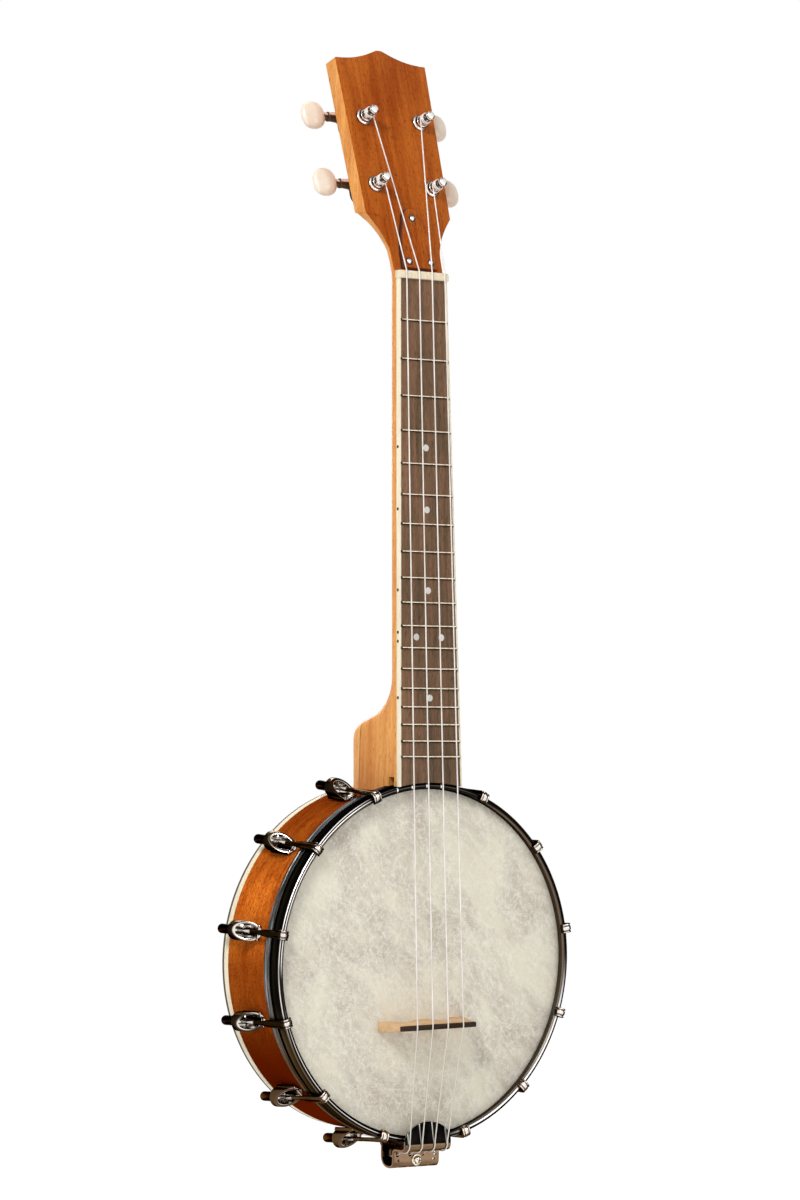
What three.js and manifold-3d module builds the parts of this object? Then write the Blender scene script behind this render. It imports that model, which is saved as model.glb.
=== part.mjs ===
// Banjo ukulele with a round open-backed pot, twelve tension hooks, a bolted neck
// and four worm-geared tuners. Millimetres, +Z up along the neck, the head faces -Y.
// Pieces are laid out from the centre of the head. The whole instrument is then moved
// so that its origin is where a hanger holds it, at the break of the headstock.

import * as THREE from 'three';
import { mergeVertices } from 'three/addons/utils/BufferGeometryUtils.js';
import Module from 'manifold-3d';

const wasm = await Module();
wasm.setup();

// Fits and unitless values
const seat = 0.3;
const glueLine = 0.15;
const overrun = 3;
const degree = Math.PI / 180;
const fullTurn = Math.PI * 2;
const ringSegments = 48;
const roundSides = 10;
const smallSides = 8;

// Pot: rim, head, flesh hoop and tension hoop
const rimRadius = 101;
const rimWall = 11;
const rimDepth = 57;
const backBindingHeight = 6;
const backBindingWall = 2;
const headThickness = 0.4;
const collarDrop = 8;
const fleshWall = 2;
const fleshHeight = 8;
const fleshStart = 2;
const hoopStand = 5.5;
const hoopBead = 1.8;

// Hooks, nuts and shoes
const hookAngles = [22, 50, 80, 108, 136, 163.5];
const hookWidth = 4;
const clawWidth = 5.4;
const clawReach = 1.6;
const hookThickness = 2.2;
const hookClearance = 0.4;
const hookLipThickness = 1.1;
const hookLipDrop = 0.5;
const hookTuck = 0.3;
const hookBarEnd = 13.5;
const hookRodRadius = 1.1;
const hookLean = 4;
const hookCornerCut = 1.2;
const nutRadius = 3.2;
const nutEnd = 49.8;
const nutChamfer = 0.8;
const shoeRadius = 5.7;
const shoeWall = 1.6;
const shoeBack = 36.5;
const shoeBackWall = 3.2;
const shoeTopFront = 33;
const shoeFootFront = 20;
const shoeFootWidth = 9;
const shoeBoltRadius = 2.2;
const shoeBoltPlace = 26;
const boltHeadRadius = 4;
const boltHeadHeight = 3;

// Neck and fingerboard
const scaleLength = 430.6;
const bridgeBelowCentre = 36.1;
const bridgeTwist = 1.2;
const compensation = 3.2;
const neckAngle = 3.17;
const boardProud = 6.37;
const boardHoopGap = 1;
const boardThickness = 4;
const boardWidthAtNut = 34.4;
const boardWidthAtEnd = 44.8;
const boardBindingWidth = 2.1;
const fretCount = 18;
const fretWidth = 2.2;
const fretHeight = 1;
const fretCrownShare = 0.2;
const neckDepthAtNut = 14;
const neckDepthAtHeel = 15;
const heelDepth = 53;
const heelCurveStart = 166;
const heelCurvePull = 157;
const heelMiddle = 144.5;
const heelMiddleDepth = 35;
const heelMiddleReach = 9;
const heelMiddleFallShare = 0.35;
const heelRound = 140.5;
const heelCorner = 130;
const nutThickness = 5;
const nutStand = 1.7;
const nutCrownCut = 0.6;
const trussRodRadius = 2.6;
const trussChannelWidth = 6;
const trussChannelDepth = 8;
const trussRodFootGap = 28;
const sectionSteps = 14;
const heelSquareness = 0.3;
const heelTaperShare = 0.12;

// Headstock
const headstockAngle = 18.3;
const headstockThickness = 11.5;
const headstockWaist = 17.4;
const headstockShoulder = 30.4;
const headstockShoulderHeight = 35.9;
const transitionRiseShares = [0, 0.35, 0.56, 0.7, 0.82, 0.92, 1];
const transitionWidthShares = [0, 0.046, 0.23, 0.42, 0.63, 0.83, 1];
const transitionRoundShares = [1, 0.95, 0.8, 0.65, 0.5, 0.3, 0.14];
const headstockTopHalf = 32.5;
const headstockTopHeight = 134.6;
const headstockPeakHeight = 141.8;
const peakHalf = 4;
const headstockTopPullShare = 0.55;
const peakPullShare = 2.5;
const coverThickness = 2.4;
const coverFootHalf = 12;
const coverHeight = 39.5;
const coverTopHalf = 6.4;
const coverFootPullShare = 0.4;
const coverTopPullShare = 0.6;
const coverTopWideShare = 1.5;
const coverFootGap = 1.2;
const coverScrewRadius = 1.5;
const coverScrewHeight = 0.7;
const coverScrewInset = 4.2;
const pocketWidth = 9;
const pocketLength = 24;
const pocketDepth = 9;
const pocketStart = 4;

// Tuners
const postSpread = 20.4;
const postHeightShares = [0.4027, 0.7192];
const gearTeeth = 14;
const gearPitchRadius = 4.2;
const wormPitchRadius = 2.1;
const gearWidth = 2.6;
const toothAddendum = 0.6;
const toothDedendum = 0.75;
const wormCoreRadius = 1.3;
const wormCrestRadius = 2.6;
const wormTurns = 2;
const threadShare = 0.36;
const crestShare = 0.16;
const wormAngleSteps = 8;
const wormStepsPerPitch = 5;
const housingDepth = 8.6;
const housingRadius = 6.1;
const housingWall = 0.9;
const housingChamfer = 1.6;
const gearPlace = 3.4;
const snoutReach = 14;
const snoutRootRadius = 4;
const snoutTipRadius = 2.5;
const shaftTail = 1.5;
const runningGap = 0.25;
const sleeveRadius = 4;
const washerRadius = 5;
const washerHeight = 1.2;
const bushingHeight = 2;
const postRadius = 3;
const postWaistRadius = 2.3;
const postTipRadius = 2.8;
const postWaistStart = 4.8;
const postWaistEnd = 9.8;
const postHeight = 13;
const postHoleRadius = 0.65;
const stemRadius = 2.2;
const buttonPlace = 24.1;
const buttonHalfReach = 8;
const buttonHalfThickness = 4.4;
const buttonHalfHeight = 8.35;
const stemSink = 9.5;

// Tailpiece, end nut and coordinator rod
const tailHalfWidth = 16.4;
const tailSheet = 1.2;
const tailPlateStand = 3.4;
const tailArchHeight = 11.5;
const tailArchRise = 5.2;
const tailShelfDrop = 4.2;
const tailBendRadius = 3.7;
const tailBoxFront = 2.5;
const tailBoxHeight = 10.4;
const tailBoxDepth = 11.3;
const tailFlangeGap = 0.5;
const tailFlangeEnd = 36;
const tailHoleRadius = 1.2;
const tailHoleDrop = 3.2;
const tailHolePitch = 9;
const tailScrewRadius = 2.6;
const tailScrewTopShare = 0.6;
const tailScrewHeight = 2;
const rodRadius = 4;
const rodPlace = 27;
const rodIntoHeel = 16;
const rodCollarRadius = 7;
const rodCollarHeight = 5;
const endNutRadius = 6.5;
const endNutHeight = 5;
const endNutDome = 2.5;

// Bridge and strings
const bridgeHeight = 18.9;
const capHeight = 2.6;
const capThickness = 3;
const capLength = 53;
const bridgeFootLength = 61;
const bridgeFootThickness = 6;
const bridgeArchHeight = 5;
const bridgeFootWidth = 10;
const stringRadius = 0.35;
const stringLift = 0.8;
const stringPitchAtNut = 9.2;
const stringPitchAtBridge = 11;
const stringSides = 6;
const windingTurns = 2.5;
const windingPitch = 1.15;
const windingSteps = 24;
const windingStart = 5.6;

// Places that follow from the sizes above
const collarInner = rimRadius + seat;
const collarOuter = collarInner + headThickness;
const fleshInner = collarOuter + seat;
const hoopOuter = fleshInner + fleshWall;
const hoopInner = hoopOuter - 2 * hoopBead;
const rimInner = rimRadius - rimWall;
const rimFront = headThickness + seat;
const boardEnd = hoopOuter + boardHoopGap;
const nutPlace = (scaleLength + compensation) * Math.cos(neckAngle * degree) - bridgeBelowCentre;
const boardLength = (nutPlace - boardEnd) / Math.cos(neckAngle * degree);
const nutBack = boardLength * Math.sin(neckAngle * degree) - boardProud;
const boardSeat = boardThickness + glueLine;
const wormOffset = gearPitchRadius + wormPitchRadius;
const toothPitch = fullTurn * gearPitchRadius / gearTeeth;
const rodAxisOffset = hookClearance + hookThickness / 2;
const postHeights = postHeightShares.map((share) => share * headstockTopHeight);
const tailPlateFront = hoopStand + tailPlateStand;
const tailShelf = hoopOuter + tailShelfDrop;
const tailArchFoot = tailShelf - tailArchRise;
const tailArchTop = tailArchFoot - tailArchHeight;
const tailBoxBottom = tailShelf + tailBoxHeight;
const tailBoxBack = tailBoxFront + tailBoxDepth;

// Materials
function finish(color, roughness, metalness) {
  return new THREE.MeshStandardMaterial({ color, roughness, metalness });
}
const mahogany = finish(0xa8602f, 0.4, 0);
const rosewood = finish(0x4a3a30, 0.6, 0);
const ivoroid = finish(0xeee4c8, 0.4, 0);
const chrome = finish(0xb8b2aa, 0.12, 1);
const aluminium = finish(0x8a8d90, 0.35, 1);
const skin = finish(0xd9d2bf, 0.6, 0);
const maple = finish(0xd0a074, 0.5, 0);
const ebony = finish(0x2a2522, 0.4, 0);
const pearl = finish(0xf0e6d4, 0.25, 0);
const nylon = finish(0xe9e4de, 0.3, 0);
const steel = finish(0x8c8880, 0.3, 1);

// Frames: the neck leans back from the pot, the headstock leans back from the neck
const neckFrame = new THREE.Matrix4()
  .makeTranslation(0, nutBack, nutPlace)
  .multiply(new THREE.Matrix4().makeRotationX(-neckAngle * degree));
const headstockOrigin = new THREE.Vector3(0, boardSeat, nutThickness).applyMatrix4(neckFrame);
const headstockFrame = new THREE.Matrix4()
  .makeTranslation(headstockOrigin.x, headstockOrigin.y, headstockOrigin.z)
  .multiply(new THREE.Matrix4().makeRotationX(-headstockAngle * degree));

const instrument = new THREE.Group();
instrument.position.copy(headstockOrigin).negate();
const banjoUkulele = new THREE.Group();
banjoUkulele.add(instrument);

// Merges shared corners, drops slivers and turns the faces outwards
function tidyMesh(geometry) {
  const bare = new THREE.BufferGeometry();
  bare.setAttribute('position', geometry.getAttribute('position'));
  if (geometry.index) bare.setIndex(geometry.index);
  const merged = mergeVertices(bare, 1e-4);
  const places = merged.getAttribute('position').array;
  const corners = merged.index.array;
  const kept = [];
  let volume = 0;
  for (let at = 0; at < corners.length; at += 3) {
    const [a, b, c] = [corners[at], corners[at + 1], corners[at + 2]];
    if (a === b || b === c || c === a) continue;
    kept.push(a, b, c);
    const pointA = new THREE.Vector3().fromArray(places, a * 3);
    const pointB = new THREE.Vector3().fromArray(places, b * 3);
    const pointC = new THREE.Vector3().fromArray(places, c * 3);
    volume += pointA.dot(pointB.cross(pointC));
  }
  if (volume < 0) kept.reverse();
  merged.setIndex(kept);
  return merged;
}

function solidOf(geometry) {
  const mesh = tidyMesh(geometry);
  const vertProperties = new Float32Array(mesh.getAttribute('position').array);
  const triVerts = new Uint32Array(mesh.index.array);
  return new wasm.Manifold(new wasm.Mesh({ numProp: 3, vertProperties, triVerts }));
}

function geometryOf(solid) {
  const mesh = solid.getMesh();
  const geometry = new THREE.BufferGeometry();
  geometry.setAttribute('position', new THREE.BufferAttribute(mesh.vertProperties, 3));
  geometry.setIndex(new THREE.BufferAttribute(mesh.triVerts, 1));
  return geometry;
}

function joined(...geometries) {
  return geometries.map(solidOf).reduce((whole, next) => whole.add(next));
}

function cut(solid, ...cutters) {
  return cutters.reduce((rest, cutter) => rest.subtract(solidOf(cutter)), solid);
}

function addPiece(name, shape, material, frame = new THREE.Matrix4()) {
  const geometry = shape.getMesh ? geometryOf(shape) : shape;
  const mesh = new THREE.Mesh(tidyMesh(geometry.clone().applyMatrix4(frame)), material);
  mesh.name = name;
  mesh.geometry.computeVertexNormals();
  instrument.add(mesh);
}

// Small shape makers
function block(low, high) {
  const size = new THREE.Vector3().subVectors(high, low);
  const middle = new THREE.Vector3().addVectors(low, high).multiplyScalar(0.5);
  return new THREE.BoxGeometry(size.x, size.y, size.z).translate(middle.x, middle.y, middle.z);
}

function vector(x, y, z) {
  return new THREE.Vector3(x, y, z);
}

function rodBetween(start, end, radius, sides = roundSides, endRadius = radius) {
  const along = new THREE.Vector3().subVectors(end, start);
  const rod = new THREE.CylinderGeometry(endRadius, radius, along.length(), sides);
  const direction = along.clone().normalize();
  rod.applyQuaternion(new THREE.Quaternion().setFromUnitVectors(vector(0, 1, 0), direction));
  const middle = new THREE.Vector3().addVectors(start, end).multiplyScalar(0.5);
  return rod.translate(middle.x, middle.y, middle.z);
}

// Turns a profile of radius and height about +Y
function turned(profile, segments) {
  const points = profile.map(([radius, height]) => new THREE.Vector2(radius, height));
  return new THREE.LatheGeometry(points, segments);
}

function closedRing(profile) {
  return turned([...profile, profile[0]], ringSegments);
}

// Extrudes an outline drawn in X and Z along +Y, between two depths
function slab(shape, from, to, curveSegments = 6) {
  const settings = { depth: to - from, bevelEnabled: false, curveSegments };
  const geometry = new THREE.ExtrudeGeometry(shape, settings);
  return geometry.rotateX(Math.PI / 2).translate(0, to, 0);
}

function outline(points) {
  return new THREE.Shape(points.map(([x, z]) => new THREE.Vector2(x, z)));
}

// Extrudes an outline drawn in Y and Z across the middle plane, along X
function across(points, halfWidth) {
  const shape = new THREE.Shape(points.map(([y, z]) => new THREE.Vector2(y, z)));
  const geometry = new THREE.ExtrudeGeometry(shape, { depth: 2 * halfWidth, bevelEnabled: false });
  const swap = new THREE.Matrix4().makeBasis(vector(0, 1, 0), vector(0, 0, 1), vector(1, 0, 0));
  return geometry.translate(0, 0, -halfWidth).applyMatrix4(swap);
}

// Joins rings of corners, all with the same count, into one closed skin with flat ends
function loft(rings) {
  const count = rings[0].length;
  const places = rings.flat().flatMap((point) => [point.x, point.y, point.z]);
  const corners = [];
  for (let row = 0; row + 1 < rings.length; row += 1) {
    for (let at = 0; at < count; at += 1) {
      const next = (at + 1) % count;
      const [a, b] = [row * count + at, row * count + next];
      const [c, d] = [a + count, b + count];
      corners.push(a, b, d, a, d, c);
    }
  }
  const last = (rings.length - 1) * count;
  for (let at = 1; at + 1 < count; at += 1) {
    corners.push(0, at + 1, at, last, last + at, last + at + 1);
  }
  const geometry = new THREE.BufferGeometry();
  geometry.setAttribute('position', new THREE.Float32BufferAttribute(places, 3));
  geometry.setIndex(corners);
  return geometry;
}

// A route through given points, stepped point by point
class Route extends THREE.Curve {
  constructor(points) {
    super();
    this.points = points;
  }

  getPoint(share, target = new THREE.Vector3()) {
    const place = share * (this.points.length - 1);
    const low = Math.min(Math.floor(place), this.points.length - 2);
    return target.lerpVectors(this.points[low], this.points[low + 1], place - low);
  }

  getPointAt(share, target) {
    return this.getPoint(share, target);
  }

  getTangentAt(share, target = new THREE.Vector3()) {
    const at = Math.round(share * (this.points.length - 1));
    const before = this.points[Math.max(at - 1, 0)];
    const after = this.points[Math.min(at + 1, this.points.length - 1)];
    return target.subVectors(after, before).normalize();
  }
}

function tube(points, radius, sides) {
  const section = new THREE.Shape(
    Array.from({ length: sides }, (_, side) => {
      const angle = fullTurn * side / sides;
      return new THREE.Vector2(radius * Math.cos(angle), radius * Math.sin(angle));
    }),
  );
  const route = new Route(points);
  return new THREE.ExtrudeGeometry(section, { steps: points.length - 1, extrudePath: route });
}

// Rim, its back binding, the head and the two hoops
function ringFrame(angle) {
  return new THREE.Matrix4().makeRotationY(angle * degree);
}

function allHookAngles() {
  return [...hookAngles.map((angle) => -angle), ...hookAngles];
}

function shoeBoltHole(angle) {
  const start = vector(0, shoeBoltPlace, rimInner - overrun);
  const end = vector(0, shoeBoltPlace, rimRadius + overrun);
  return rodBetween(start, end, shoeBoltRadius + seat, smallSides).applyMatrix4(ringFrame(angle));
}

function rodHole(low, high) {
  return rodBetween(vector(0, rodPlace, low), vector(0, rodPlace, high), rodRadius + seat);
}

function makePot() {
  const rebateRadius = rimRadius - backBindingWall - glueLine;
  const rebateStart = rimDepth - backBindingHeight - glueLine;
  const rim = cut(
    solidOf(closedRing([
      [rimInner, rimFront],
      [rimRadius, rimFront],
      [rimRadius, rebateStart],
      [rebateRadius, rebateStart],
      [rebateRadius, rimDepth],
      [rimInner, rimDepth],
    ])),
    ...allHookAngles().map(shoeBoltHole),
    rodHole(rimInner - overrun, rimRadius + overrun),
    rodHole(-rimRadius - overrun, -rimInner + overrun),
  );
  addPiece('rim', rim, mahogany);
  addPiece('rim_binding', closedRing([
    [rimRadius - backBindingWall, rimDepth - backBindingHeight],
    [rimRadius, rimDepth - backBindingHeight],
    [rimRadius, rimDepth],
    [rimRadius - backBindingWall, rimDepth],
  ]), ivoroid);
  addPiece('head', turned([
    [0, 0],
    [collarOuter - headThickness, 0],
    [collarOuter, headThickness],
    [collarOuter, collarDrop],
    [collarInner, collarDrop],
    [collarInner, headThickness],
    [0, headThickness],
  ], ringSegments), skin);
  addPiece('flesh_hoop', closedRing([
    [fleshInner, fleshStart],
    [hoopOuter, fleshStart],
    [hoopOuter, fleshStart + fleshHeight],
    [fleshInner, fleshStart + fleshHeight],
  ]), aluminium);
  const beadMiddle = hoopOuter - hoopBead;
  const beadPlace = hoopBead - hoopStand;
  const beadSteps = 4;
  const bead = Array.from({ length: beadSteps + 1 }, (_, step) => {
    const angle = Math.PI * step / beadSteps;
    return [beadMiddle + hoopBead * Math.cos(angle), beadPlace - hoopBead * Math.sin(angle)];
  });
  addPiece('tension_hoop', closedRing([
    [hoopOuter, fleshStart - seat],
    ...bead,
    [hoopInner, -headThickness - seat],
    [fleshInner, -headThickness - seat],
    [fleshInner, fleshStart - seat],
  ]), chrome);
}

// One hook with its nut, and its shoe with the bolt through the rim
function hookFrame(angle) {
  const lean = new THREE.Matrix4()
    .makeTranslation(0, -hoopStand, hoopOuter)
    .multiply(new THREE.Matrix4().makeRotationX(hookLean * degree))
    .multiply(new THREE.Matrix4().makeTranslation(0, hoopStand, 0));
  return ringFrame(angle).multiply(lean);
}

function hookSolid() {
  const top = -hoopStand - hookClearance;
  const inner = hookTuck - 2 * hoopBead;
  const outer = hookClearance + hookThickness;
  const crown = top - hookThickness;
  const claw = across([
    [top + clawReach, hookClearance],
    [top, hookClearance],
    [top, inner],
    [top + hookLipDrop, inner],
    [top + hookLipDrop, inner - hookLipThickness],
    [crown + hookCornerCut, inner - hookLipThickness],
    [crown, inner - hookLipThickness + hookCornerCut],
    [crown, outer - hookCornerCut],
    [crown + hookCornerCut, outer],
    [top + clawReach, outer],
  ], clawWidth / 2);
  const bar = across([
    [hookBarEnd, hookClearance],
    [top, hookClearance],
    [top, outer - glueLine],
    [hookBarEnd, outer - glueLine],
  ], hookWidth / 2);
  const nutStart = shoeBack + seat;
  const nut = turned([
    [0, nutStart],
    [nutRadius, nutStart],
    [nutRadius, nutEnd - nutChamfer],
    [nutRadius - nutChamfer, nutEnd],
    [0, nutEnd],
  ], roundSides).translate(0, 0, rodAxisOffset);
  const rodStart = vector(0, hookBarEnd - hookThickness, rodAxisOffset);
  const rodEnd = vector(0, nutStart + nutRadius, rodAxisOffset);
  return joined(claw, bar, nut, rodBetween(rodStart, rodEnd, hookRodRadius, smallSides));
}

function shoeGeometry(angle) {
  const hollowEnd = shoeBack - shoeBackWall;
  const cup = turned([
    [0, hollowEnd],
    [shoeRadius - shoeWall, hollowEnd],
    [shoeRadius - shoeWall, shoeFootFront],
    [shoeRadius, shoeFootFront],
    [shoeRadius, shoeBack],
    [0, shoeBack],
  ], roundSides).translate(0, 0, rodAxisOffset);
  const footLow = rimInner - hoopOuter;
  const foot = block(
    vector(-shoeFootWidth / 2, shoeFootFront, footLow),
    vector(shoeFootWidth / 2, shoeBack, rodAxisOffset - shoeRadius + shoeWall),
  );
  const face = across([
    [shoeFootFront, rodAxisOffset - shoeRadius + shoeWall],
    [shoeTopFront, rodAxisOffset + shoeRadius + seat],
    [shoeTopFront, rodAxisOffset + 2 * shoeRadius],
    [shoeFootFront - overrun, rodAxisOffset + 2 * shoeRadius],
    [shoeFootFront - overrun, rodAxisOffset - shoeRadius + shoeWall],
  ], shoeRadius + overrun);
  const boreStart = vector(0, hollowEnd - overrun, rodAxisOffset);
  const boreEnd = vector(0, shoeBack + overrun, rodAxisOffset);
  const bore = rodBetween(boreStart, boreEnd, hookRodRadius + hookClearance, smallSides);
  const placed = cut(joined(cup, foot), face, bore);
  const rimSpace = turned([
    [0, -overrun],
    [rimRadius + seat, -overrun],
    [rimRadius + seat, rimDepth + overrun],
    [0, rimDepth + overrun],
  ], ringSegments);
  const seated = cut(solidOf(geometryOf(placed).applyMatrix4(hookFrame(angle))), rimSpace);
  const shank = rodBetween(
    vector(0, shoeBoltPlace, rimInner - seat - boltHeadHeight / 2),
    vector(0, shoeBoltPlace, rimRadius + shoeWall),
    shoeBoltRadius,
    smallSides,
  );
  const bolt = rodBetween(
    vector(0, shoeBoltPlace, rimInner - seat - boltHeadHeight),
    vector(0, shoeBoltPlace, rimInner - seat),
    boltHeadRadius,
    6,
  );
  const fastener = joined(shank, bolt);
  return seated.add(solidOf(geometryOf(fastener).applyMatrix4(ringFrame(angle))));
}

function makeTensioners() {
  const hook = geometryOf(hookSolid());
  for (const [side, sign] of [['left', -1], ['right', 1]]) {
    hookAngles.forEach((angle, at) => {
      addPiece(`hook_${side}_${at + 1}`, hook, chrome, hookFrame(sign * angle));
      addPiece(`shoe_${side}_${at + 1}`, shoeGeometry(sign * angle), chrome);
    });
  }
}

// Neck with its headstock, in one piece
function boardHalfWidth(down) {
  const share = down / boardLength;
  return THREE.MathUtils.lerp(boardWidthAtNut, boardWidthAtEnd, share) / 2;
}

function downFromNut(height) {
  return (nutPlace - height) / Math.cos(neckAngle * degree);
}

function backLine() {
  const middleFall = heelMiddleReach * heelMiddleFallShare;
  const line = new THREE.Path();
  line.moveTo(0, neckDepthAtNut);
  line.lineTo(downFromNut(heelCurveStart), neckDepthAtHeel);
  line.bezierCurveTo(
    downFromNut(heelCurvePull), neckDepthAtHeel,
    downFromNut(heelMiddle + middleFall), heelMiddleDepth - heelMiddleReach,
    downFromNut(heelMiddle), heelMiddleDepth,
  );
  line.bezierCurveTo(
    downFromNut(heelMiddle - middleFall), heelMiddleDepth + heelMiddleReach,
    downFromNut(heelRound), heelDepth,
    downFromNut(heelCorner), heelDepth,
  );
  line.lineTo(boardLength + rimWall, heelDepth);
  return line.getPoints(6);
}

function neckSection(down, depth) {
  const share = THREE.MathUtils.clamp((depth - neckDepthAtHeel) / (heelDepth - neckDepthAtHeel), 0, 1);
  const power = THREE.MathUtils.lerp(1, heelSquareness, share);
  const taper = heelTaperShare * share;
  const half = boardHalfWidth(down);
  return Array.from({ length: sectionSteps + 1 }, (_, step) => {
    const angle = Math.PI * step / sectionSteps;
    const reach = Math.abs(Math.cos(angle)) ** power * Math.sign(Math.cos(angle));
    const drop = Math.abs(Math.sin(angle)) ** power;
    return vector(half * reach * (1 - taper * drop), boardSeat + depth * drop, -down);
  });
}

function headstockOutline() {
  const shape = new THREE.Shape();
  const foot = headstockShoulderHeight - headstockThickness;
  shape.moveTo(-headstockShoulder, foot);
  shape.lineTo(headstockShoulder, foot);
  shape.lineTo(headstockShoulder, headstockShoulderHeight);
  shape.lineTo(headstockTopHalf, headstockTopHeight);
  shape.bezierCurveTo(
    headstockTopHalf * headstockTopPullShare, headstockTopHeight,
    peakHalf * peakPullShare, (headstockTopHeight + headstockPeakHeight) / 2,
    peakHalf / 2, headstockPeakHeight,
  );
  shape.lineTo(-peakHalf / 2, headstockPeakHeight);
  shape.bezierCurveTo(
    -peakHalf * peakPullShare, (headstockTopHeight + headstockPeakHeight) / 2,
    -headstockTopHalf * headstockTopPullShare, headstockTopHeight,
    -headstockTopHalf, headstockTopHeight,
  );
  shape.lineTo(-headstockShoulder, headstockShoulderHeight);
  return shape;
}

// Level sections that widen from the neck's round back to the square shoulders of the headstock
function transitionSections() {
  const rise = headstockShoulderHeight * Math.cos(headstockAngle * degree);
  const lean = Math.tan(headstockAngle * degree);
  const depthAtShoulder = headstockThickness / Math.cos(headstockAngle * degree);
  const widest = headstockShoulder - glueLine;
  const section = (half, depth, round, front, height) => (
    Array.from({ length: sectionSteps + 1 }, (_, step) => {
      const angle = Math.PI * step / sectionSteps;
      const reach = Math.abs(Math.cos(angle)) ** round * Math.sign(Math.cos(angle));
      const drop = Math.abs(Math.sin(angle)) ** round;
      const inward = step === 0 || step === sectionSteps ? 0 : drop;
      return vector(half * reach, headstockOrigin.y + front + depth * inward, headstockOrigin.z + height);
    })
  );
  const rows = transitionRiseShares.map((share, at) => section(
    THREE.MathUtils.lerp(headstockWaist, widest, transitionWidthShares[at]),
    THREE.MathUtils.lerp(neckDepthAtNut, depthAtShoulder - 2 * seat, share),
    transitionRoundShares[at],
    (rise + glueLine) * share * lean + glueLine * share,
    (rise + glueLine) * share,
  ));
  const topRise = rise + overrun;
  const round = transitionRoundShares[transitionRoundShares.length - 1];
  rows.push(section(widest - seat, depthAtShoulder - 4 * seat, round, topRise * lean + 2 * seat, topRise));
  return rows.reverse();
}

function makeNeck() {
  const shaftSections = backLine().map((point) => (
    neckSection(point.x, point.y).map((corner) => corner.applyMatrix4(neckFrame))
  ));
  const shaft = loft([...transitionSections(), ...shaftSections]);
  const plate = slab(headstockOutline(), 0, headstockThickness).applyMatrix4(headstockFrame);
  const shoulder = headstockOrigin.z + headstockShoulderHeight * Math.cos(headstockAngle * degree);
  const belowShoulder = block(
    vector(-2 * headstockShoulder, -rimDepth, headstockOrigin.z - headstockShoulder),
    vector(2 * headstockShoulder, 2 * rimDepth, shoulder),
  );
  const rimSpace = turned([
    [0, -rimDepth],
    [hoopOuter + seat, -rimDepth],
    [hoopOuter + seat, fleshStart + fleshHeight + seat],
    [rimRadius + seat, fleshStart + fleshHeight + seat],
    [rimRadius + seat, 2 * rimDepth],
    [0, 2 * rimDepth],
  ], ringSegments);
  const channel = block(
    vector(-trussChannelWidth / 2, 0, -boardLength + trussRodFootGap),
    vector(trussChannelWidth / 2, boardSeat + trussChannelDepth, 0),
  ).applyMatrix4(neckFrame);
  const channelEnd = rodBetween(
    vector(0, trussRodDepth(), -overrun),
    vector(0, trussRodDepth(), nutThickness + pocketStart + overrun),
    trussRodRadius + seat,
    smallSides,
  ).applyMatrix4(neckFrame);
  const pocket = block(
    vector(-pocketWidth / 2, -overrun, pocketStart),
    vector(pocketWidth / 2, pocketDepth, pocketStart + pocketLength),
  ).applyMatrix4(headstockFrame);
  const postHoles = [-postSpread, postSpread].flatMap((spread) => postHeights.map((height) => rodBetween(
    vector(spread, -overrun, height),
    vector(spread, headstockThickness + overrun, height),
    sleeveRadius + seat,
  ).applyMatrix4(headstockFrame)));
  const bore = rodHole(rimInner, rimRadius + rodIntoHeel + seat);
  const blank = solidOf(shaft).add(cut(solidOf(plate), belowShoulder));
  addPiece('neck', cut(blank, rimSpace, channel, channelEnd, pocket, bore, ...postHoles), mahogany);
}

function trussRodDepth() {
  return boardSeat + trussChannelDepth - trussRodRadius - seat;
}

function makeTrussRod() {
  const rod = rodBetween(
    vector(0, trussRodDepth(), -boardLength + trussRodFootGap + seat),
    vector(0, trussRodDepth(), nutThickness + pocketStart + trussRodRadius),
    trussRodRadius,
    smallSides,
  );
  addPiece('truss_rod', rod, steel, neckFrame);
}

// Fingerboard with its frets, binding and nut
function fretPlace(number) {
  return scaleLength * (1 - 2 ** (-number / 12));
}

function fret(number) {
  const down = fretPlace(number);
  const half = boardHalfWidth(down) - boardBindingWidth - glueLine - seat;
  return across([
    [boardThickness / 2, -down - fretWidth / 2],
    [-fretHeight / 2, -down - fretWidth / 2],
    [-fretHeight, -down - fretWidth * fretCrownShare],
    [-fretHeight, -down + fretWidth * fretCrownShare],
    [-fretHeight / 2, -down + fretWidth / 2],
    [boardThickness / 2, -down + fretWidth / 2],
  ], half);
}

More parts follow.
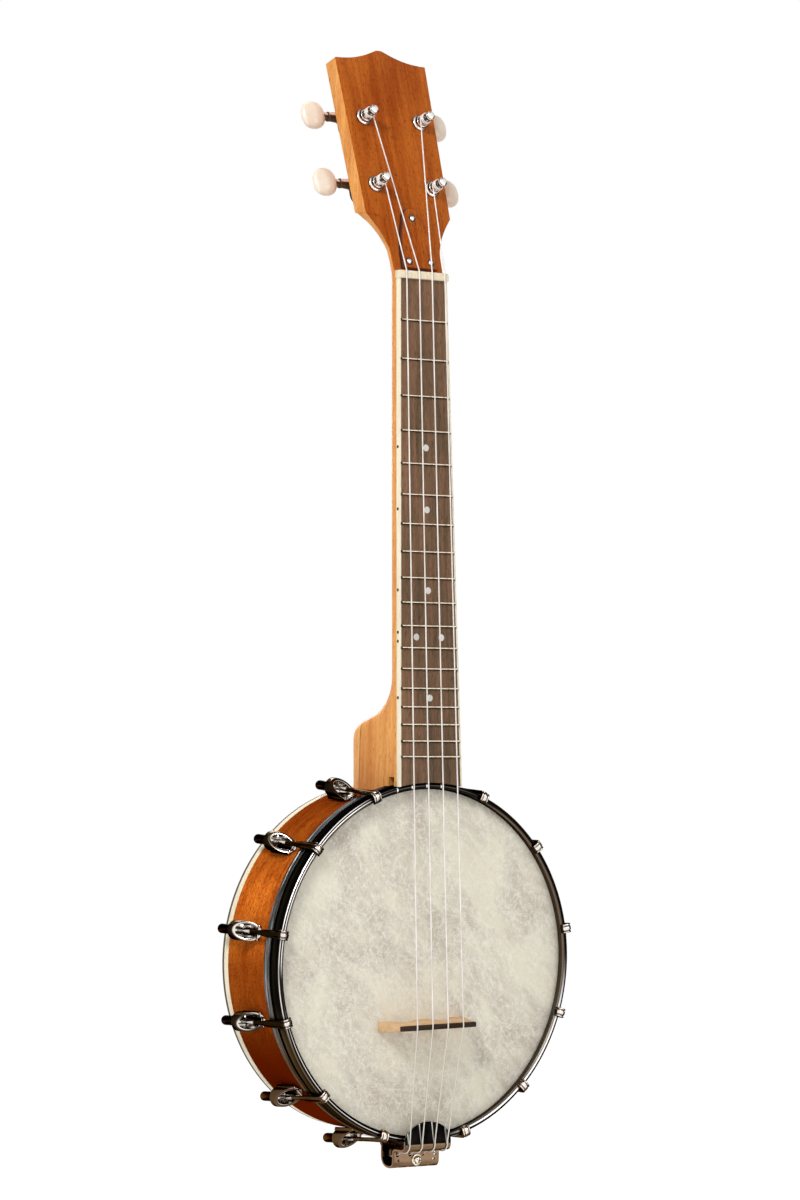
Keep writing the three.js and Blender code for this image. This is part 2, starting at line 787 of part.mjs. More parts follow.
function makeFingerboard() {
  const side = boardBindingWidth + glueLine;
  const halfAtNut = boardWidthAtNut / 2;
  const halfAtEnd = boardWidthAtEnd / 2;
  const innerEnd = boardLength - side;
  const innerHalf = boardHalfWidth(innerEnd);
  const board = slab(outline([
    [side - halfAtNut, 0],
    [side - innerHalf, -innerEnd],
    [innerHalf - side, -innerEnd],
    [halfAtNut - side, 0],
  ]), 0, boardThickness);
  const lastPlace = boardLength - side - fretWidth;
  const numbers = Array.from({ length: fretCount }, (_, at) => at + 1);
  const frets = numbers.filter((number) => fretPlace(number) < lastPlace).map(fret);
  addPiece('fingerboard', joined(board, ...frets), rosewood, neckFrame);
  const bindingEnd = boardLength - boardBindingWidth;
  const bindingHalf = boardHalfWidth(bindingEnd) - boardBindingWidth;
  addPiece('fingerboard_binding', slab(outline([
    [-halfAtNut, 0],
    [-halfAtEnd, -boardLength],
    [halfAtEnd, -boardLength],
    [halfAtNut, 0],
    [halfAtNut - boardBindingWidth, 0],
    [bindingHalf, -bindingEnd],
    [-bindingHalf, -bindingEnd],
    [boardBindingWidth - halfAtNut, 0],
  ]), 0, boardThickness), ivoroid, neckFrame);
  addPiece('nut', across([
    [boardThickness, glueLine],
    [-nutStand, glueLine],
    [-nutStand, nutThickness - nutCrownCut - glueLine],
    [-nutStand + nutCrownCut, nutThickness - glueLine],
    [boardThickness, nutThickness - glueLine],
  ], halfAtNut), ivoroid, neckFrame);
}

function makeCover() {
  const shape = new THREE.Shape();
  const shoulder = coverHeight - coverTopHalf;
  shape.moveTo(-coverFootHalf, coverFootGap);
  shape.lineTo(coverFootHalf, coverFootGap);
  shape.bezierCurveTo(
    coverFootHalf, coverHeight * coverFootPullShare,
    coverTopHalf * coverTopWideShare, coverHeight * coverTopPullShare,
    coverTopHalf, shoulder,
  );
  shape.absarc(0, shoulder, coverTopHalf, 0, Math.PI, false);
  shape.bezierCurveTo(
    -coverTopHalf * coverTopWideShare, coverHeight * coverTopPullShare,
    -coverFootHalf, coverHeight * coverFootPullShare,
    -coverFootHalf, coverFootGap,
  );
  const face = -seat - coverThickness;
  const screwPlaces = [
    [0, shoulder],
    [coverScrewInset - coverFootHalf, coverFootGap + coverScrewInset],
    [coverFootHalf - coverScrewInset, coverFootGap + coverScrewInset],
  ];
  const screws = screwPlaces.map(([x, z]) => rodBetween(
    vector(x, face + glueLine, z),
    vector(x, face - coverScrewHeight, z),
    coverScrewRadius,
    smallSides,
    coverScrewRadius / 2,
  ));
  addPiece('truss_rod_cover', joined(slab(shape, face, -seat, 8), ...screws), mahogany, headstockFrame);
}

// Tuners, drawn for the right side with the post on the Y axis and the back of the headstock at zero
function wormAxis() {
  return { y: gearPlace + gearWidth / 2, z: wormOffset };
}

function gearWheel() {
  const thread = fullTurn / gearTeeth;
  const tipHalf = thread * crestShare / 2;
  const rootHalf = thread * threadShare / 2;
  const phase = Math.PI / 2 + thread / 4 + thread / 2;
  const points = Array.from({ length: gearTeeth }, (_, tooth) => {
    const middle = phase + tooth * thread;
    const rootRadius = gearPitchRadius - toothDedendum;
    const tipRadius = gearPitchRadius + toothAddendum;
    return [
      [rootRadius, middle - rootHalf],
      [tipRadius, middle - tipHalf],
      [tipRadius, middle + tipHalf],
      [rootRadius, middle + rootHalf],
    ].map(([radius, angle]) => [radius * Math.cos(angle), radius * Math.sin(angle)]);
  }).flat();
  const wheel = slab(outline(points), gearPlace, gearPlace + gearWidth);
  const places = wheel.getAttribute('position');
  const slant = toothPitch / (fullTurn * wormPitchRadius * gearPitchRadius);
  for (let at = 0; at < places.count; at += 1) {
    const point = vector(0, 0, 0).fromBufferAttribute(places, at);
    const turn = -slant * (point.y - wormAxis().y);
    places.setXYZ(
      at,
      point.x * Math.cos(turn) - point.z * Math.sin(turn),
      point.y,
      point.x * Math.sin(turn) + point.z * Math.cos(turn),
    );
  }
  return wheel;
}

// The worm's thread height over one pitch, from 0 to 1
function threadRise(share) {
  const place = Math.abs(share - Math.round(share));
  return THREE.MathUtils.clamp((threadShare / 2 - place) / ((threadShare - crestShare) / 2), 0, 1);
}

// The worm and its shaft along X, with the thread in the middle
function wormShaft(tail, tip) {
  const half = wormTurns * toothPitch / 2;
  const count = wormTurns * wormStepsPerPitch;
  const circle = (place, riseAt) => Array.from({ length: wormAngleSteps }, (_, step) => {
    const angle = fullTurn * step / wormAngleSteps;
    const radius = wormCoreRadius + (wormCrestRadius - wormCoreRadius) * riseAt(angle);
    return vector(place, radius * Math.cos(angle), radius * Math.sin(angle));
  });
  const thread = Array.from({ length: count + 1 }, (_, row) => {
    const place = -half + row * toothPitch / wormStepsPerPitch;
    const atEnd = row === 0 || row === count;
    return circle(place, (angle) => (atEnd ? 0 : threadRise(place / toothPitch - angle / fullTurn)));
  });
  return loft([circle(tail, () => 0), ...thread, circle(tip, () => 0)]);
}

function makeTuner(side, height, name) {
  const place = new THREE.Matrix4().makeTranslation(side * postSpread, headstockThickness + seat, height);
  const frame = headstockFrame.clone().multiply(place).multiply(new THREE.Matrix4().makeScale(side, 1, 1));
  const axis = wormAxis();
  const front = -headstockThickness - seat;
  const threadHalf = wormTurns * toothPitch / 2;
  const wormSpace = threadHalf + seat;
  const topHalf = wormSpace + shaftTail;
  const top = axis.z + wormCrestRadius + seat + housingWall;
  const bowl = Array.from({ length: 7 }, (_, step) => {
    const angle = Math.PI * (1 + step / 6);
    return [housingRadius * Math.cos(angle), housingRadius * Math.sin(angle)];
  });
  const bodyOutline = [
    ...bowl,
    [housingRadius, axis.z],
    [topHalf, top],
    [-topHalf, top],
    [-housingRadius, axis.z],
  ];
  const middle = (top - housingRadius) / 2;
  const inset = 1 - housingChamfer / housingRadius;
  const body = loft([
    bodyOutline.map(([x, z]) => vector(x, 0, z)),
    bodyOutline.map(([x, z]) => vector(x, housingDepth - housingChamfer, z)),
    bodyOutline.map(([x, z]) => vector(x * inset, housingDepth, middle + (z - middle) * inset)),
  ]);
  const snout = rodBetween(
    vector(topHalf - snoutTipRadius, axis.y, axis.z),
    vector(snoutReach, axis.y, axis.z),
    snoutRootRadius,
    roundSides,
    snoutTipRadius,
  );
  const sleeve = turned([
    [0, glueLine],
    [sleeveRadius, glueLine],
    [sleeveRadius, front - seat],
    [washerRadius, front - seat],
    [washerRadius, front - seat - washerHeight],
    [sleeveRadius, front - seat - washerHeight],
    [sleeveRadius - glueLine, front - seat - washerHeight - bushingHeight],
    [0, front - seat - washerHeight - bushingHeight],
  ], roundSides);
  const gearSpace = rodBetween(
    vector(0, gearPlace - runningGap, 0),
    vector(0, gearPlace + gearWidth + runningGap, 0),
    gearPitchRadius + toothAddendum + runningGap,
    roundSides + smallSides / 2,
  );
  const wormCavity = rodBetween(
    vector(-wormSpace, axis.y, axis.z),
    vector(wormSpace, axis.y, axis.z),
    wormCrestRadius + seat,
  );
  const shaftBore = rodBetween(
    vector(-wormSpace - shaftTail - seat, axis.y, axis.z),
    vector(snoutReach + overrun, axis.y, axis.z),
    wormCoreRadius + runningGap,
  );
  const postBore = rodBetween(
    vector(0, front - washerHeight - bushingHeight - overrun, 0),
    vector(0, gearPlace, 0),
    postRadius + runningGap,
  );
  const housing = cut(joined(body, snout, sleeve), gearSpace, wormCavity, shaftBore, postBore);
  addPiece(`tuner_housing_${name}`, housing, chrome, frame);

  const tip = front - postHeight;
  const post = turned([
    [0, gearPlace + gearWidth / 2],
    [postRadius, gearPlace + gearWidth / 2],
    [postRadius, front - postWaistStart],
    [postWaistRadius, front - postWaistStart - seat],
    [postWaistRadius, front - postWaistEnd],
    [postTipRadius, front - postWaistEnd - seat],
    [postTipRadius, tip + stringRadius * 2],
    [postTipRadius - stringRadius * 2, tip],
    [0, tip],
  ], roundSides);
  const holePlace = front - postWaistEnd + postHoleRadius + glueLine;
  const hole = rodBetween(
    vector(-postRadius - overrun, holePlace, 0),
    vector(postRadius + overrun, holePlace, 0),
    postHoleRadius,
    smallSides,
  );
  addPiece(`tuner_post_${name}`, cut(joined(post, gearWheel()), hole), chrome, frame);

  const shaft = wormShaft(-wormSpace - shaftTail, buttonPlace - buttonHalfReach + stemSink)
    .translate(0, axis.y, axis.z);
  const stem = rodBetween(
    vector(snoutReach + seat, axis.y, axis.z),
    vector(buttonPlace - buttonHalfReach + glueLine, axis.y, axis.z),
    stemRadius,
  );
  addPiece(`tuner_shaft_${name}`, joined(shaft, stem), chrome, frame);

  const button = new THREE.SphereGeometry(1, 12, 8)
    .scale(buttonHalfReach, buttonHalfThickness, buttonHalfHeight)
    .translate(buttonPlace, axis.y, axis.z);
  const buttonBore = rodBetween(
    vector(buttonPlace - buttonHalfReach - overrun, axis.y, axis.z),
    vector(buttonPlace - buttonHalfReach + stemSink + seat, axis.y, axis.z),
    wormCoreRadius + glueLine,
  );
  const counterbore = rodBetween(
    vector(buttonPlace - buttonHalfReach - overrun, axis.y, axis.z),
    vector(buttonPlace - buttonHalfReach + glueLine + seat, axis.y, axis.z),
    stemRadius + glueLine,
  );
  addPiece(`tuner_button_${name}`, cut(solidOf(button), buttonBore, counterbore), pearl, frame);
}

// Tailpiece: one folded sheet with an arched plate over the hoop and a string box below it
function tailPath() {
  const flange = rimRadius + tailFlangeGap + tailSheet / 2;
  const path = new THREE.Path();
  path.moveTo(-tailPlateFront, -tailArchTop);
  path.lineTo(-tailPlateFront, -tailShelf + tailBendRadius);
  path.quadraticCurveTo(-tailPlateFront, -tailShelf, -tailPlateFront + tailBendRadius, -tailShelf);
  path.lineTo(tailBoxFront - tailBendRadius / 2, -tailShelf);
  path.quadraticCurveTo(tailBoxFront, -tailShelf, tailBoxFront, -tailShelf - tailBendRadius / 2);
  path.lineTo(tailBoxFront, -tailBoxBottom + tailBendRadius);
  path.quadraticCurveTo(tailBoxFront, -tailBoxBottom, tailBoxFront + tailBendRadius, -tailBoxBottom);
  path.quadraticCurveTo(tailBoxBack, -tailBoxBottom, tailBoxBack, -tailBoxBottom + 2 * tailBendRadius);
  path.lineTo(tailBoxBack, -flange - tailBendRadius / 2);
  path.quadraticCurveTo(tailBoxBack, -flange, tailBoxBack + tailBendRadius / 2, -flange);
  path.lineTo(tailFlangeEnd, -flange);
  return path.getPoints(4).filter((point, at, all) => at === 0 || point.distanceTo(all[at - 1]) > glueLine);
}

function offsetLine(points, distance) {
  return points.map((point, at) => {
    const before = points[Math.max(at - 1, 0)];
    const after = points[Math.min(at + 1, points.length - 1)];
    const along = new THREE.Vector2().subVectors(after, before).normalize();
    return [point.x - along.y * distance, point.y + along.x * distance];
  });
}

function makeTailpiece() {
  const path = tailPath();
  const sheet = across([
    ...offsetLine(path, tailSheet / 2),
    ...offsetLine(path, -tailSheet / 2).reverse(),
  ], tailHalfWidth);
  const archHeight = tailArchFoot - tailArchTop;
  const arch = new THREE.Shape();
  const around = tailHalfWidth + overrun;
  arch.moveTo(tailHalfWidth, -tailArchFoot);
  arch.lineTo(around, -tailArchFoot);
  arch.lineTo(around, -tailArchTop + overrun);
  arch.lineTo(-around, -tailArchTop + overrun);
  arch.lineTo(-around, -tailArchFoot);
  arch.lineTo(-tailHalfWidth, -tailArchFoot);
  arch.absellipse(0, -tailArchFoot, tailHalfWidth, archHeight, Math.PI, 0, true);
  const corners = slab(arch, -tailPlateFront - overrun, -tailPlateFront + overrun, 8);
  const stringHoles = stringNumbers().map((at) => rodBetween(
    vector(tailHoleAt(at), tailBoxFront - overrun, -tailShelf - tailHoleDrop),
    vector(tailHoleAt(at), tailBoxFront + overrun, -tailShelf - tailHoleDrop),
    tailHoleRadius,
    smallSides,
  ));
  const rodHoleInFlange = rodHole(-rimRadius - 2 * overrun, -rimInner);
  const screwHeight = -(tailShelf + tailBoxBottom) / 2 - tailHoleRadius;
  const screw = rodBetween(
    vector(0, tailBoxFront, screwHeight),
    vector(0, tailBoxFront - tailSheet / 2 - tailScrewHeight, screwHeight),
    tailScrewRadius,
    roundSides,
    tailScrewRadius * tailScrewTopShare,
  );
  const folded = cut(solidOf(sheet), corners, ...stringHoles, rodHoleInFlange);
  addPiece('tailpiece', folded.add(solidOf(screw)), chrome);
}

function makeCoordinatorRod() {
  const sag = rodCollarRadius ** 2 / (2 * rimInner);
  const collarFace = rimInner - seat - sag;
  const flange = rimRadius + tailFlangeGap + tailSheet;
  const rod = rodBetween(
    vector(0, rodPlace, -flange - endNutHeight / 2),
    vector(0, rodPlace, rimRadius + rodIntoHeel),
    rodRadius,
  );
  const collars = [[-collarFace, rodCollarHeight - collarFace], [collarFace - rodCollarHeight, collarFace]];
  const nuts = collars.map(([low, high]) => rodBetween(
    vector(0, rodPlace, low),
    vector(0, rodPlace, high),
    rodCollarRadius,
    6,
  ));
  addPiece('coordinator_rod', joined(rod, ...nuts), steel);
  const start = flange + seat;
  const nut = turned([
    [rodRadius + glueLine, start],
    [endNutRadius, start],
    [endNutRadius, start + endNutHeight],
    [endNutRadius / 2, start + endNutHeight + endNutDome],
    [0, start + endNutHeight + endNutDome],
    [0, start + endNutHeight],
    [rodRadius + glueLine, start + endNutHeight],
    [rodRadius + glueLine, start],
  ], roundSides).rotateX(-Math.PI / 2).translate(0, rodPlace, 0);
  addPiece('end_nut', nut, chrome);
}

// Bridge: a footed body and a hard cap, set a little askew under the strings
function bridgeFrame() {
  const twist = new THREE.Matrix4().makeRotationY(-bridgeTwist * degree);
  return new THREE.Matrix4().makeTranslation(0, 0, -bridgeBelowCentre).multiply(twist);
}

function makeBridge() {
  const bodyHeight = bridgeHeight - capHeight - glueLine;
  const halfFoot = bridgeFootLength / 2;
  const halfCap = capLength / 2;
  const inner = bridgeFootWidth / 2;
  const outerFoot = halfFoot - bridgeFootWidth;
  const body = new THREE.Shape();
  const side = new THREE.Path();
  side.moveTo(-halfFoot, seat);
  side.lineTo(-outerFoot, seat);
  side.quadraticCurveTo(-outerFoot, bridgeArchHeight, (-outerFoot - inner) / 2, bridgeArchHeight);
  side.quadraticCurveTo(-inner, bridgeArchHeight, -inner, seat);
  side.lineTo(inner, seat);
  side.quadraticCurveTo(inner, bridgeArchHeight, (outerFoot + inner) / 2, bridgeArchHeight);
  side.quadraticCurveTo(outerFoot, bridgeArchHeight, outerFoot, seat);
  side.lineTo(halfFoot, seat);
  side.lineTo(halfCap, bodyHeight);
  side.lineTo(-halfCap, bodyHeight);
  body.setFromPoints(side.getPoints(4));
  const thickness = bridgeFootThickness;
  const upright = new THREE.ExtrudeGeometry(body, { depth: thickness, bevelEnabled: false });
  const stand = new THREE.Matrix4().makeBasis(vector(1, 0, 0), vector(0, -1, 0), vector(0, 0, -1));
  upright.translate(0, 0, -thickness / 2).applyMatrix4(stand);
  const wedge = across([
    [overrun, -thickness / 2],
    [-seat, -thickness / 2],
    [-bodyHeight, -capThickness / 2],
    [-bodyHeight - overrun, -capThickness / 2],
    [-bodyHeight - overrun, capThickness / 2],
    [-bodyHeight, capThickness / 2],
    [-seat, thickness / 2],
    [overrun, thickness / 2],
  ], halfFoot + overrun);
  const place = bridgeFrame();
  addPiece('bridge', solidOf(upright).intersect(solidOf(wedge)), maple, place);
  addPiece('bridge_cap', block(
    vector(-halfCap, -bridgeHeight, -capThickness / 2),
    vector(halfCap, -bridgeHeight + capHeight, capThickness / 2),
  ), ebony, place);
}

// Strings, from the tailpiece box over the bridge and the nut to the posts
function stringNumbers() {
  return [-1.5, -0.5, 0.5, 1.5];
}

function tailHoleAt(number) {
  return number * tailHolePitch;
}

function stringRoute(number) {
  const side = Math.sign(number);
  const outer = Math.abs(number) > 1;
  const height = outer ? postHeights[0] : postHeights[1];
  const hole = tailHoleAt(number);
  const clear = tailSheet / 2 + seat + stringRadius;
  const shelf = -tailShelf - clear;
  const plate = -tailPlateFront - clear;
  const holeHeight = -tailShelf - tailHoleDrop;
  const insideBox = tailBoxFront + tailSheet + tailHoleDrop;
  const points = [
    vector(hole, insideBox + tailHoleRadius, holeHeight - tailHoleRadius),
    vector(hole, insideBox, holeHeight - tailHoleRadius / 2),
    vector(hole, tailBoxFront, holeHeight),
    vector(hole, tailBoxFront - tailSheet, holeHeight + stringRadius),
    vector(hole, tailBoxFront - tailBendRadius, shelf),
  ];
  const bend = tailBendRadius + clear;
  for (let step = 0; step <= 4; step += 1) {
    const angle = Math.PI / 2 * step / 4;
    points.push(vector(
      hole,
      -tailPlateFront + tailBendRadius - bend * Math.sin(angle),
      -tailShelf + tailBendRadius - bend * Math.cos(angle),
    ));
  }
  points.push(vector(hole, plate, -tailArchFoot + stringRadius));
  points.push(vector(number * stringPitchAtBridge, -bridgeHeight - stringLift, -bridgeBelowCentre));
  const overNut = -nutStand - stringLift;
  const atNut = number * stringPitchAtNut;
  points.push(vector(atNut, overNut, 0).applyMatrix4(neckFrame));
  const offNut = vector(atNut, overNut, nutThickness - nutCrownCut).applyMatrix4(neckFrame);
  points.push(offNut);
  const local = offNut.clone().applyMatrix4(headstockFrame.clone().invert());
  const wrap = postWaistRadius + seat + stringRadius;
  const outward = postSpread - Math.abs(local.x);
  const upward = height - local.z;
  const distance = Math.hypot(outward, upward);
  const start = Math.atan2(outward, upward) - Math.asin(wrap / distance);
  const steps = windingTurns * windingSteps;
  const loops = [];
  for (let step = 0; step <= steps; step += 1) {
    const turn = start + fullTurn * step / windingSteps;
    const lift = windingStart + windingPitch * step / windingSteps;
    loops.push(vector(
      side * (postSpread - wrap * Math.cos(turn)),
      -lift,
      height + wrap * Math.sin(turn),
    ));
  }
  const last = loops[loops.length - 1];
  const beforeLast = loops[loops.length - 2];
  const tail = new THREE.Vector3().subVectors(last, beforeLast).setLength(2 * stringRadius);
  loops.push(new THREE.Vector3().addVectors(last, tail));
  return { points: [...points, ...loops.map((point) => point.applyMatrix4(headstockFrame))], loops };
}

// The least gap between a winding's turns, from points half a turn or more apart
function leastGap(loops) {
  let least = Infinity;
  for (let first = 0; first < loops.length; first += 1) {
    for (let second = first + windingSteps / 2; second < loops.length; second += 1) {
      least = Math.min(least, loops[first].distanceTo(loops[second]) - 2 * stringRadius);
    }
  }
  return least;
}

function makeStrings() {
  stringNumbers().forEach((number, at) => {
    const { points, loops } = stringRoute(number);
    addPiece(`string_${at + 1}`, tube(points, stringRadius, stringSides), nylon);
    console.log(`string ${at + 1}: least gap between turns ${leastGap(loops).toFixed(2)} mm`);
  });
}

makePot();
makeTensioners();
makeNeck();
makeTrussRod();
makeFingerboard();
makeCover();
for (const [side, sign] of [['left', -1], ['right', 1]]) {
  ['lower', 'upper'].forEach((level, at) => makeTuner(sign, postHeights[at], `${level}_${side}`));
}
makeTailpiece();
makeCoordinatorRod();
makeBridge();
makeStrings();

export default banjoUkulele;
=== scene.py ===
"""Looks of a banjo ukulele: an open-backed round pot, twelve hooks, a long neck and four tuners."""

import logging
import math
from collections.abc import Callable, Iterable, Sequence
from dataclasses import dataclass, field
from enum import Enum
from functools import reduce

import bmesh
import bpy
from mathutils import Matrix, Vector


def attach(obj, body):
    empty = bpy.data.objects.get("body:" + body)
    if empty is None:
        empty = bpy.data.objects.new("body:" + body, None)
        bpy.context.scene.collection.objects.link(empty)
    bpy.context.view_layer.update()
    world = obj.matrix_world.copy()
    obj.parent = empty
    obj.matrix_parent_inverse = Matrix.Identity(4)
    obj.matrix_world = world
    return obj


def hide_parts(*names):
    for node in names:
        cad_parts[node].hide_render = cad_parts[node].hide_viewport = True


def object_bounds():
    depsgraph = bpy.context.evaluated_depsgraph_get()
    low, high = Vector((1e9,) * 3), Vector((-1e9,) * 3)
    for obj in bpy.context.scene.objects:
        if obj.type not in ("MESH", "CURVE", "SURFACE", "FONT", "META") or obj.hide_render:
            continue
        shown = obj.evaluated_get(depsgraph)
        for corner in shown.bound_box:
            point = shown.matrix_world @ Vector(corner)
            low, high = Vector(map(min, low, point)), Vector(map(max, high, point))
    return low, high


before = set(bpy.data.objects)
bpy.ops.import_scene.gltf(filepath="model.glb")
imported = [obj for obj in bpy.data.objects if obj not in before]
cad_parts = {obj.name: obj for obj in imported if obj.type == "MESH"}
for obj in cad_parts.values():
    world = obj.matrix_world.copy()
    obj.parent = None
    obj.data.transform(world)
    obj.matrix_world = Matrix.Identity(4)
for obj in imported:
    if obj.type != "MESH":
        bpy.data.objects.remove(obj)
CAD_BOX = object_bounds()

LOG = logging.getLogger("banjo_ukulele")
Colour = tuple[float, float, float, float]
Point = Sequence[float]
Outline = Sequence[Point]
Form = bmesh.types.BMesh
Socket = bpy.types.NodeSocket
STILL = Matrix.Identity(4)
SIDES = {"left": -1, "right": 1}
STRING_NUMBERS = (-1.5, -0.5, 0.5, 1.5)
ROUND_STEPS = 192


def tint(red: int, green: int, blue: int) -> Colour:
    """Turns a colour as a picture shows it into the linear one that a shader takes.

    Args:
        red: Red, from 0 to 255.
        green: Green, from 0 to 255.
        blue: Blue, from 0 to 255.

    Returns:
        The linear colour with full alpha.
    """
    shares = [channel / 255 for channel in (red, green, blue)]
    linear = [s / 12.92 if s <= 0.04045 else ((s + 0.055) / 1.055) ** 2.4 for s in shares]
    return (linear[0], linear[1], linear[2], 1.0)


def swing(axis: str, degrees: float) -> Matrix:
    """Gives a turn about one axis, from its letter and its degrees."""
    return Matrix.Rotation(math.radians(degrees), 4, axis)


# Sizes that several sub-assemblies share


@dataclass(frozen=True)
class Layout:
    """Shared sizes and frames, in millimetres from the centre of the head."""

    rim_radius: float = 101.0
    rim_inner: float = 90.0
    rim_depth: float = 57.0
    collar_outer: float = 101.7
    flesh_inner: float = 102.0
    flesh_start: float = 2.0
    flesh_height: float = 8.0
    hoop_outer: float = 104.0
    hoop_bead: float = 1.8
    hoop_stand: float = 5.5
    seat: float = 0.3
    hook_angles: tuple[float, ...] = (22.0, 50.0, 80.0, 108.0, 136.0, 163.5)
    hook_lean: float = 4.0
    rod_place: float = 27.0
    scale_length: float = 430.6
    compensation: float = 3.2
    bridge_below: float = 36.1
    bridge_twist: float = 1.2
    neck_angle: float = 3.17
    board_proud: float = 6.37
    board_thickness: float = 4.0
    board_seat: float = 4.15
    width_at_nut: float = 34.4
    width_at_end: float = 44.8
    nut_thickness: float = 5.0
    nut_stand: float = 1.7
    headstock_angle: float = 18.3
    headstock_thickness: float = 11.5
    post_spread: float = 20.4
    post_heights: tuple[float, float] = (54.2, 96.8)
    string_radius: float = 0.35
    pitch_at_nut: float = 9.2
    board_gap: float = 1.0

    @property
    def board_end(self) -> float:
        """Height of the fingerboard's lower end above the head's centre."""
        return self.hoop_outer + self.board_gap

    @property
    def lean(self) -> float:
        """The neck's angle in radians."""
        return math.radians(self.neck_angle)

    @property
    def nut_place(self) -> float:
        """Height of the nut's lower face above the head's centre."""
        return (self.scale_length + self.compensation) * math.cos(self.lean) - self.bridge_below

    @property
    def board_length(self) -> float:
        """Length of the fingerboard from the nut to its lower end."""
        return (self.nut_place - self.board_end) / math.cos(self.lean)

    @property
    def neck(self) -> Matrix:
        """Frame of the neck: the board's face at y 0, the nut at z 0."""
        back = self.board_length * math.sin(self.lean) - self.board_proud
        return Matrix.Translation((0, back, self.nut_place)) @ swing("X", -self.neck_angle)

    @property
    def origin(self) -> Vector:
        """Where the headstock breaks from the neck, which is the instrument's origin."""
        return self.neck @ Vector((0, self.board_seat, self.nut_thickness))

    @property
    def headstock(self) -> Matrix:
        """Frame of the headstock: its face at y 0, z up along it."""
        return Matrix.Translation(self.origin) @ swing("X", -self.headstock_angle)

    @property
    def row(self) -> Matrix:
        """Moves a finished mesh from the pot's millimetres to the shared frame's metres."""
        return Matrix.Scale(0.001, 4) @ Matrix.Translation(-self.origin)

    @property
    def bridge(self) -> Matrix:
        """Frame of the bridge, a little askew on the head."""
        return Matrix.Translation((0, 0, -self.bridge_below)) @ swing("Y", -self.bridge_twist)

    def half_width(self, down: float) -> float:
        """Half the fingerboard's width at a distance down from the nut."""
        share = down / self.board_length
        return (self.width_at_nut + (self.width_at_end - self.width_at_nut) * share) / 2

    def strip(self, side: int, end: float, width: float) -> list[Point]:
        """Draws a strip along one edge of the fingerboard.

        Args:
            side: -1 for the left edge, 1 for the right one.
            end: How far down from the nut it reaches.
            width: Its width.

        Returns:
            Its corners in x and z.
        """
        top, low = self.half_width(0), self.half_width(end)
        return [(side * top, 0), (side * low, -end), (side * (low - width), -end), (side * (top - width), 0)]

    def down_from_nut(self, height: float) -> float:
        """Distance down the neck at a height above the head's centre."""
        return (self.nut_place - height) / math.cos(self.lean)

    def fret_place(self, number: float) -> float:
        """Distance of a fret from the nut."""
        return self.scale_length * (1 - 2 ** (-number / 12))

    def tuner(self, side: int, height: float) -> Matrix:
        """Frame of a tuner: x outwards, y 0 on the back of the headstock, the post along y."""
        place = Matrix.Translation((side * self.post_spread, self.headstock_thickness + self.seat, height))
        return self.headstock @ place @ Matrix.Diagonal((side, 1, 1, 1))

    def hook(self, angle: float) -> Matrix:
        """Frame of a hook: y into the pot, z outwards from the tension hoop."""
        out = Matrix.Translation((0, -self.hoop_stand, self.hoop_outer))
        return swing("Y", angle) @ out @ swing("X", self.hook_lean) @ Matrix.Translation((0, self.hoop_stand, 0))


# Mesh tools


def rounded(corners: Outline, radius: float, steps: int = 3, closed: bool = True) -> list[Point]:
    """Rounds the corners of an outline.

    Args:
        corners: The outline's corners in order.
        radius: How far from each corner the rounding starts.
        steps: Pieces in each rounding.
        closed: False leaves the two end points as they are.

    Returns:
        The rounded outline.
    """
    points: list[Point] = []
    for at, corner in enumerate(corners):
        if not closed and at in (0, len(corners) - 1):
            points.append(tuple(corner))
            continue
        here = Vector(corner)
        before = Vector(corners[at - 1]) - here
        after = Vector(corners[(at + 1) % len(corners)]) - here
        reach = min(radius, before.length * 0.49, after.length * 0.49)
        start = here + before.normalized() * reach
        end = here + after.normalized() * reach
        for step in range(steps + 1):
            share = step / steps
            points.append(tuple(start.lerp(here, share).lerp(here.lerp(end, share), share)))
    return points


def flow(points: Sequence[Point], steps: int) -> list[Vector]:
    """Runs a smooth curve through points.

    Args:
        points: The points, in two or three dimensions.
        steps: Pieces between each two points.

    Returns:
        The points of the curve.
    """
    marks = [Vector(point) for point in points]
    marks = [2 * marks[0] - marks[1], *marks, 2 * marks[-1] - marks[-2]]
    curve: list[Vector] = []
    for a, b, c, d in zip(marks, marks[1:], marks[2:], marks[3:]):
        for step in range(steps):
            t = step / steps
            bend = (2 * a - 5 * b + 4 * c - d) * t * t + (3 * b - a - 3 * c + d) * t**3
            curve.append((2 * b + (c - a) * t + bend) / 2)
    curve.append(marks[-2])
    return curve


def bow(start: Point, pulls: Sequence[Point], end: Point, steps: int) -> list[Vector]:
    """Draws a curve that leaves its ends towards one or two pulling points.

    Args:
        start: First point.
        pulls: One or two points that bend the curve.
        end: Last point.
        steps: Pieces in the curve.

    Returns:
        The points after the first one.
    """
    curve = []
    for step in range(1, steps + 1):
        level = [Vector(point) for point in (start, *pulls, end)]
        while len(level) > 1:
            level = [a.lerp(b, step / steps) for a, b in zip(level, level[1:])]
        curve.append(level[0])
    return curve


def arc(middle: Point, radius: float, start: float, end: float, steps: int) -> list[Point]:
    """Draws a part of a circle.

    Args:
        middle: The circle's centre.
        radius: Its radius.
        start: Where it starts, in degrees.
        end: Where it ends, in degrees.
        steps: Pieces in it.

    Returns:
        The points with both ends.
    """
    angles = [math.radians(start + (end - start) * step / steps) for step in range(steps + 1)]
    return [(middle[0] + radius * math.cos(a), middle[1] + radius * math.sin(a)) for a in angles]


def flipped(points: Outline) -> list[Point]:
    """Gives an outline's points on the other side, in the opposite order."""
    return [(-x, height) for x, height in reversed(points)]


def mirrored(points: Outline) -> list[Point]:
    """Completes one half of an outline with its other half."""
    return [*points, *flipped(points)]


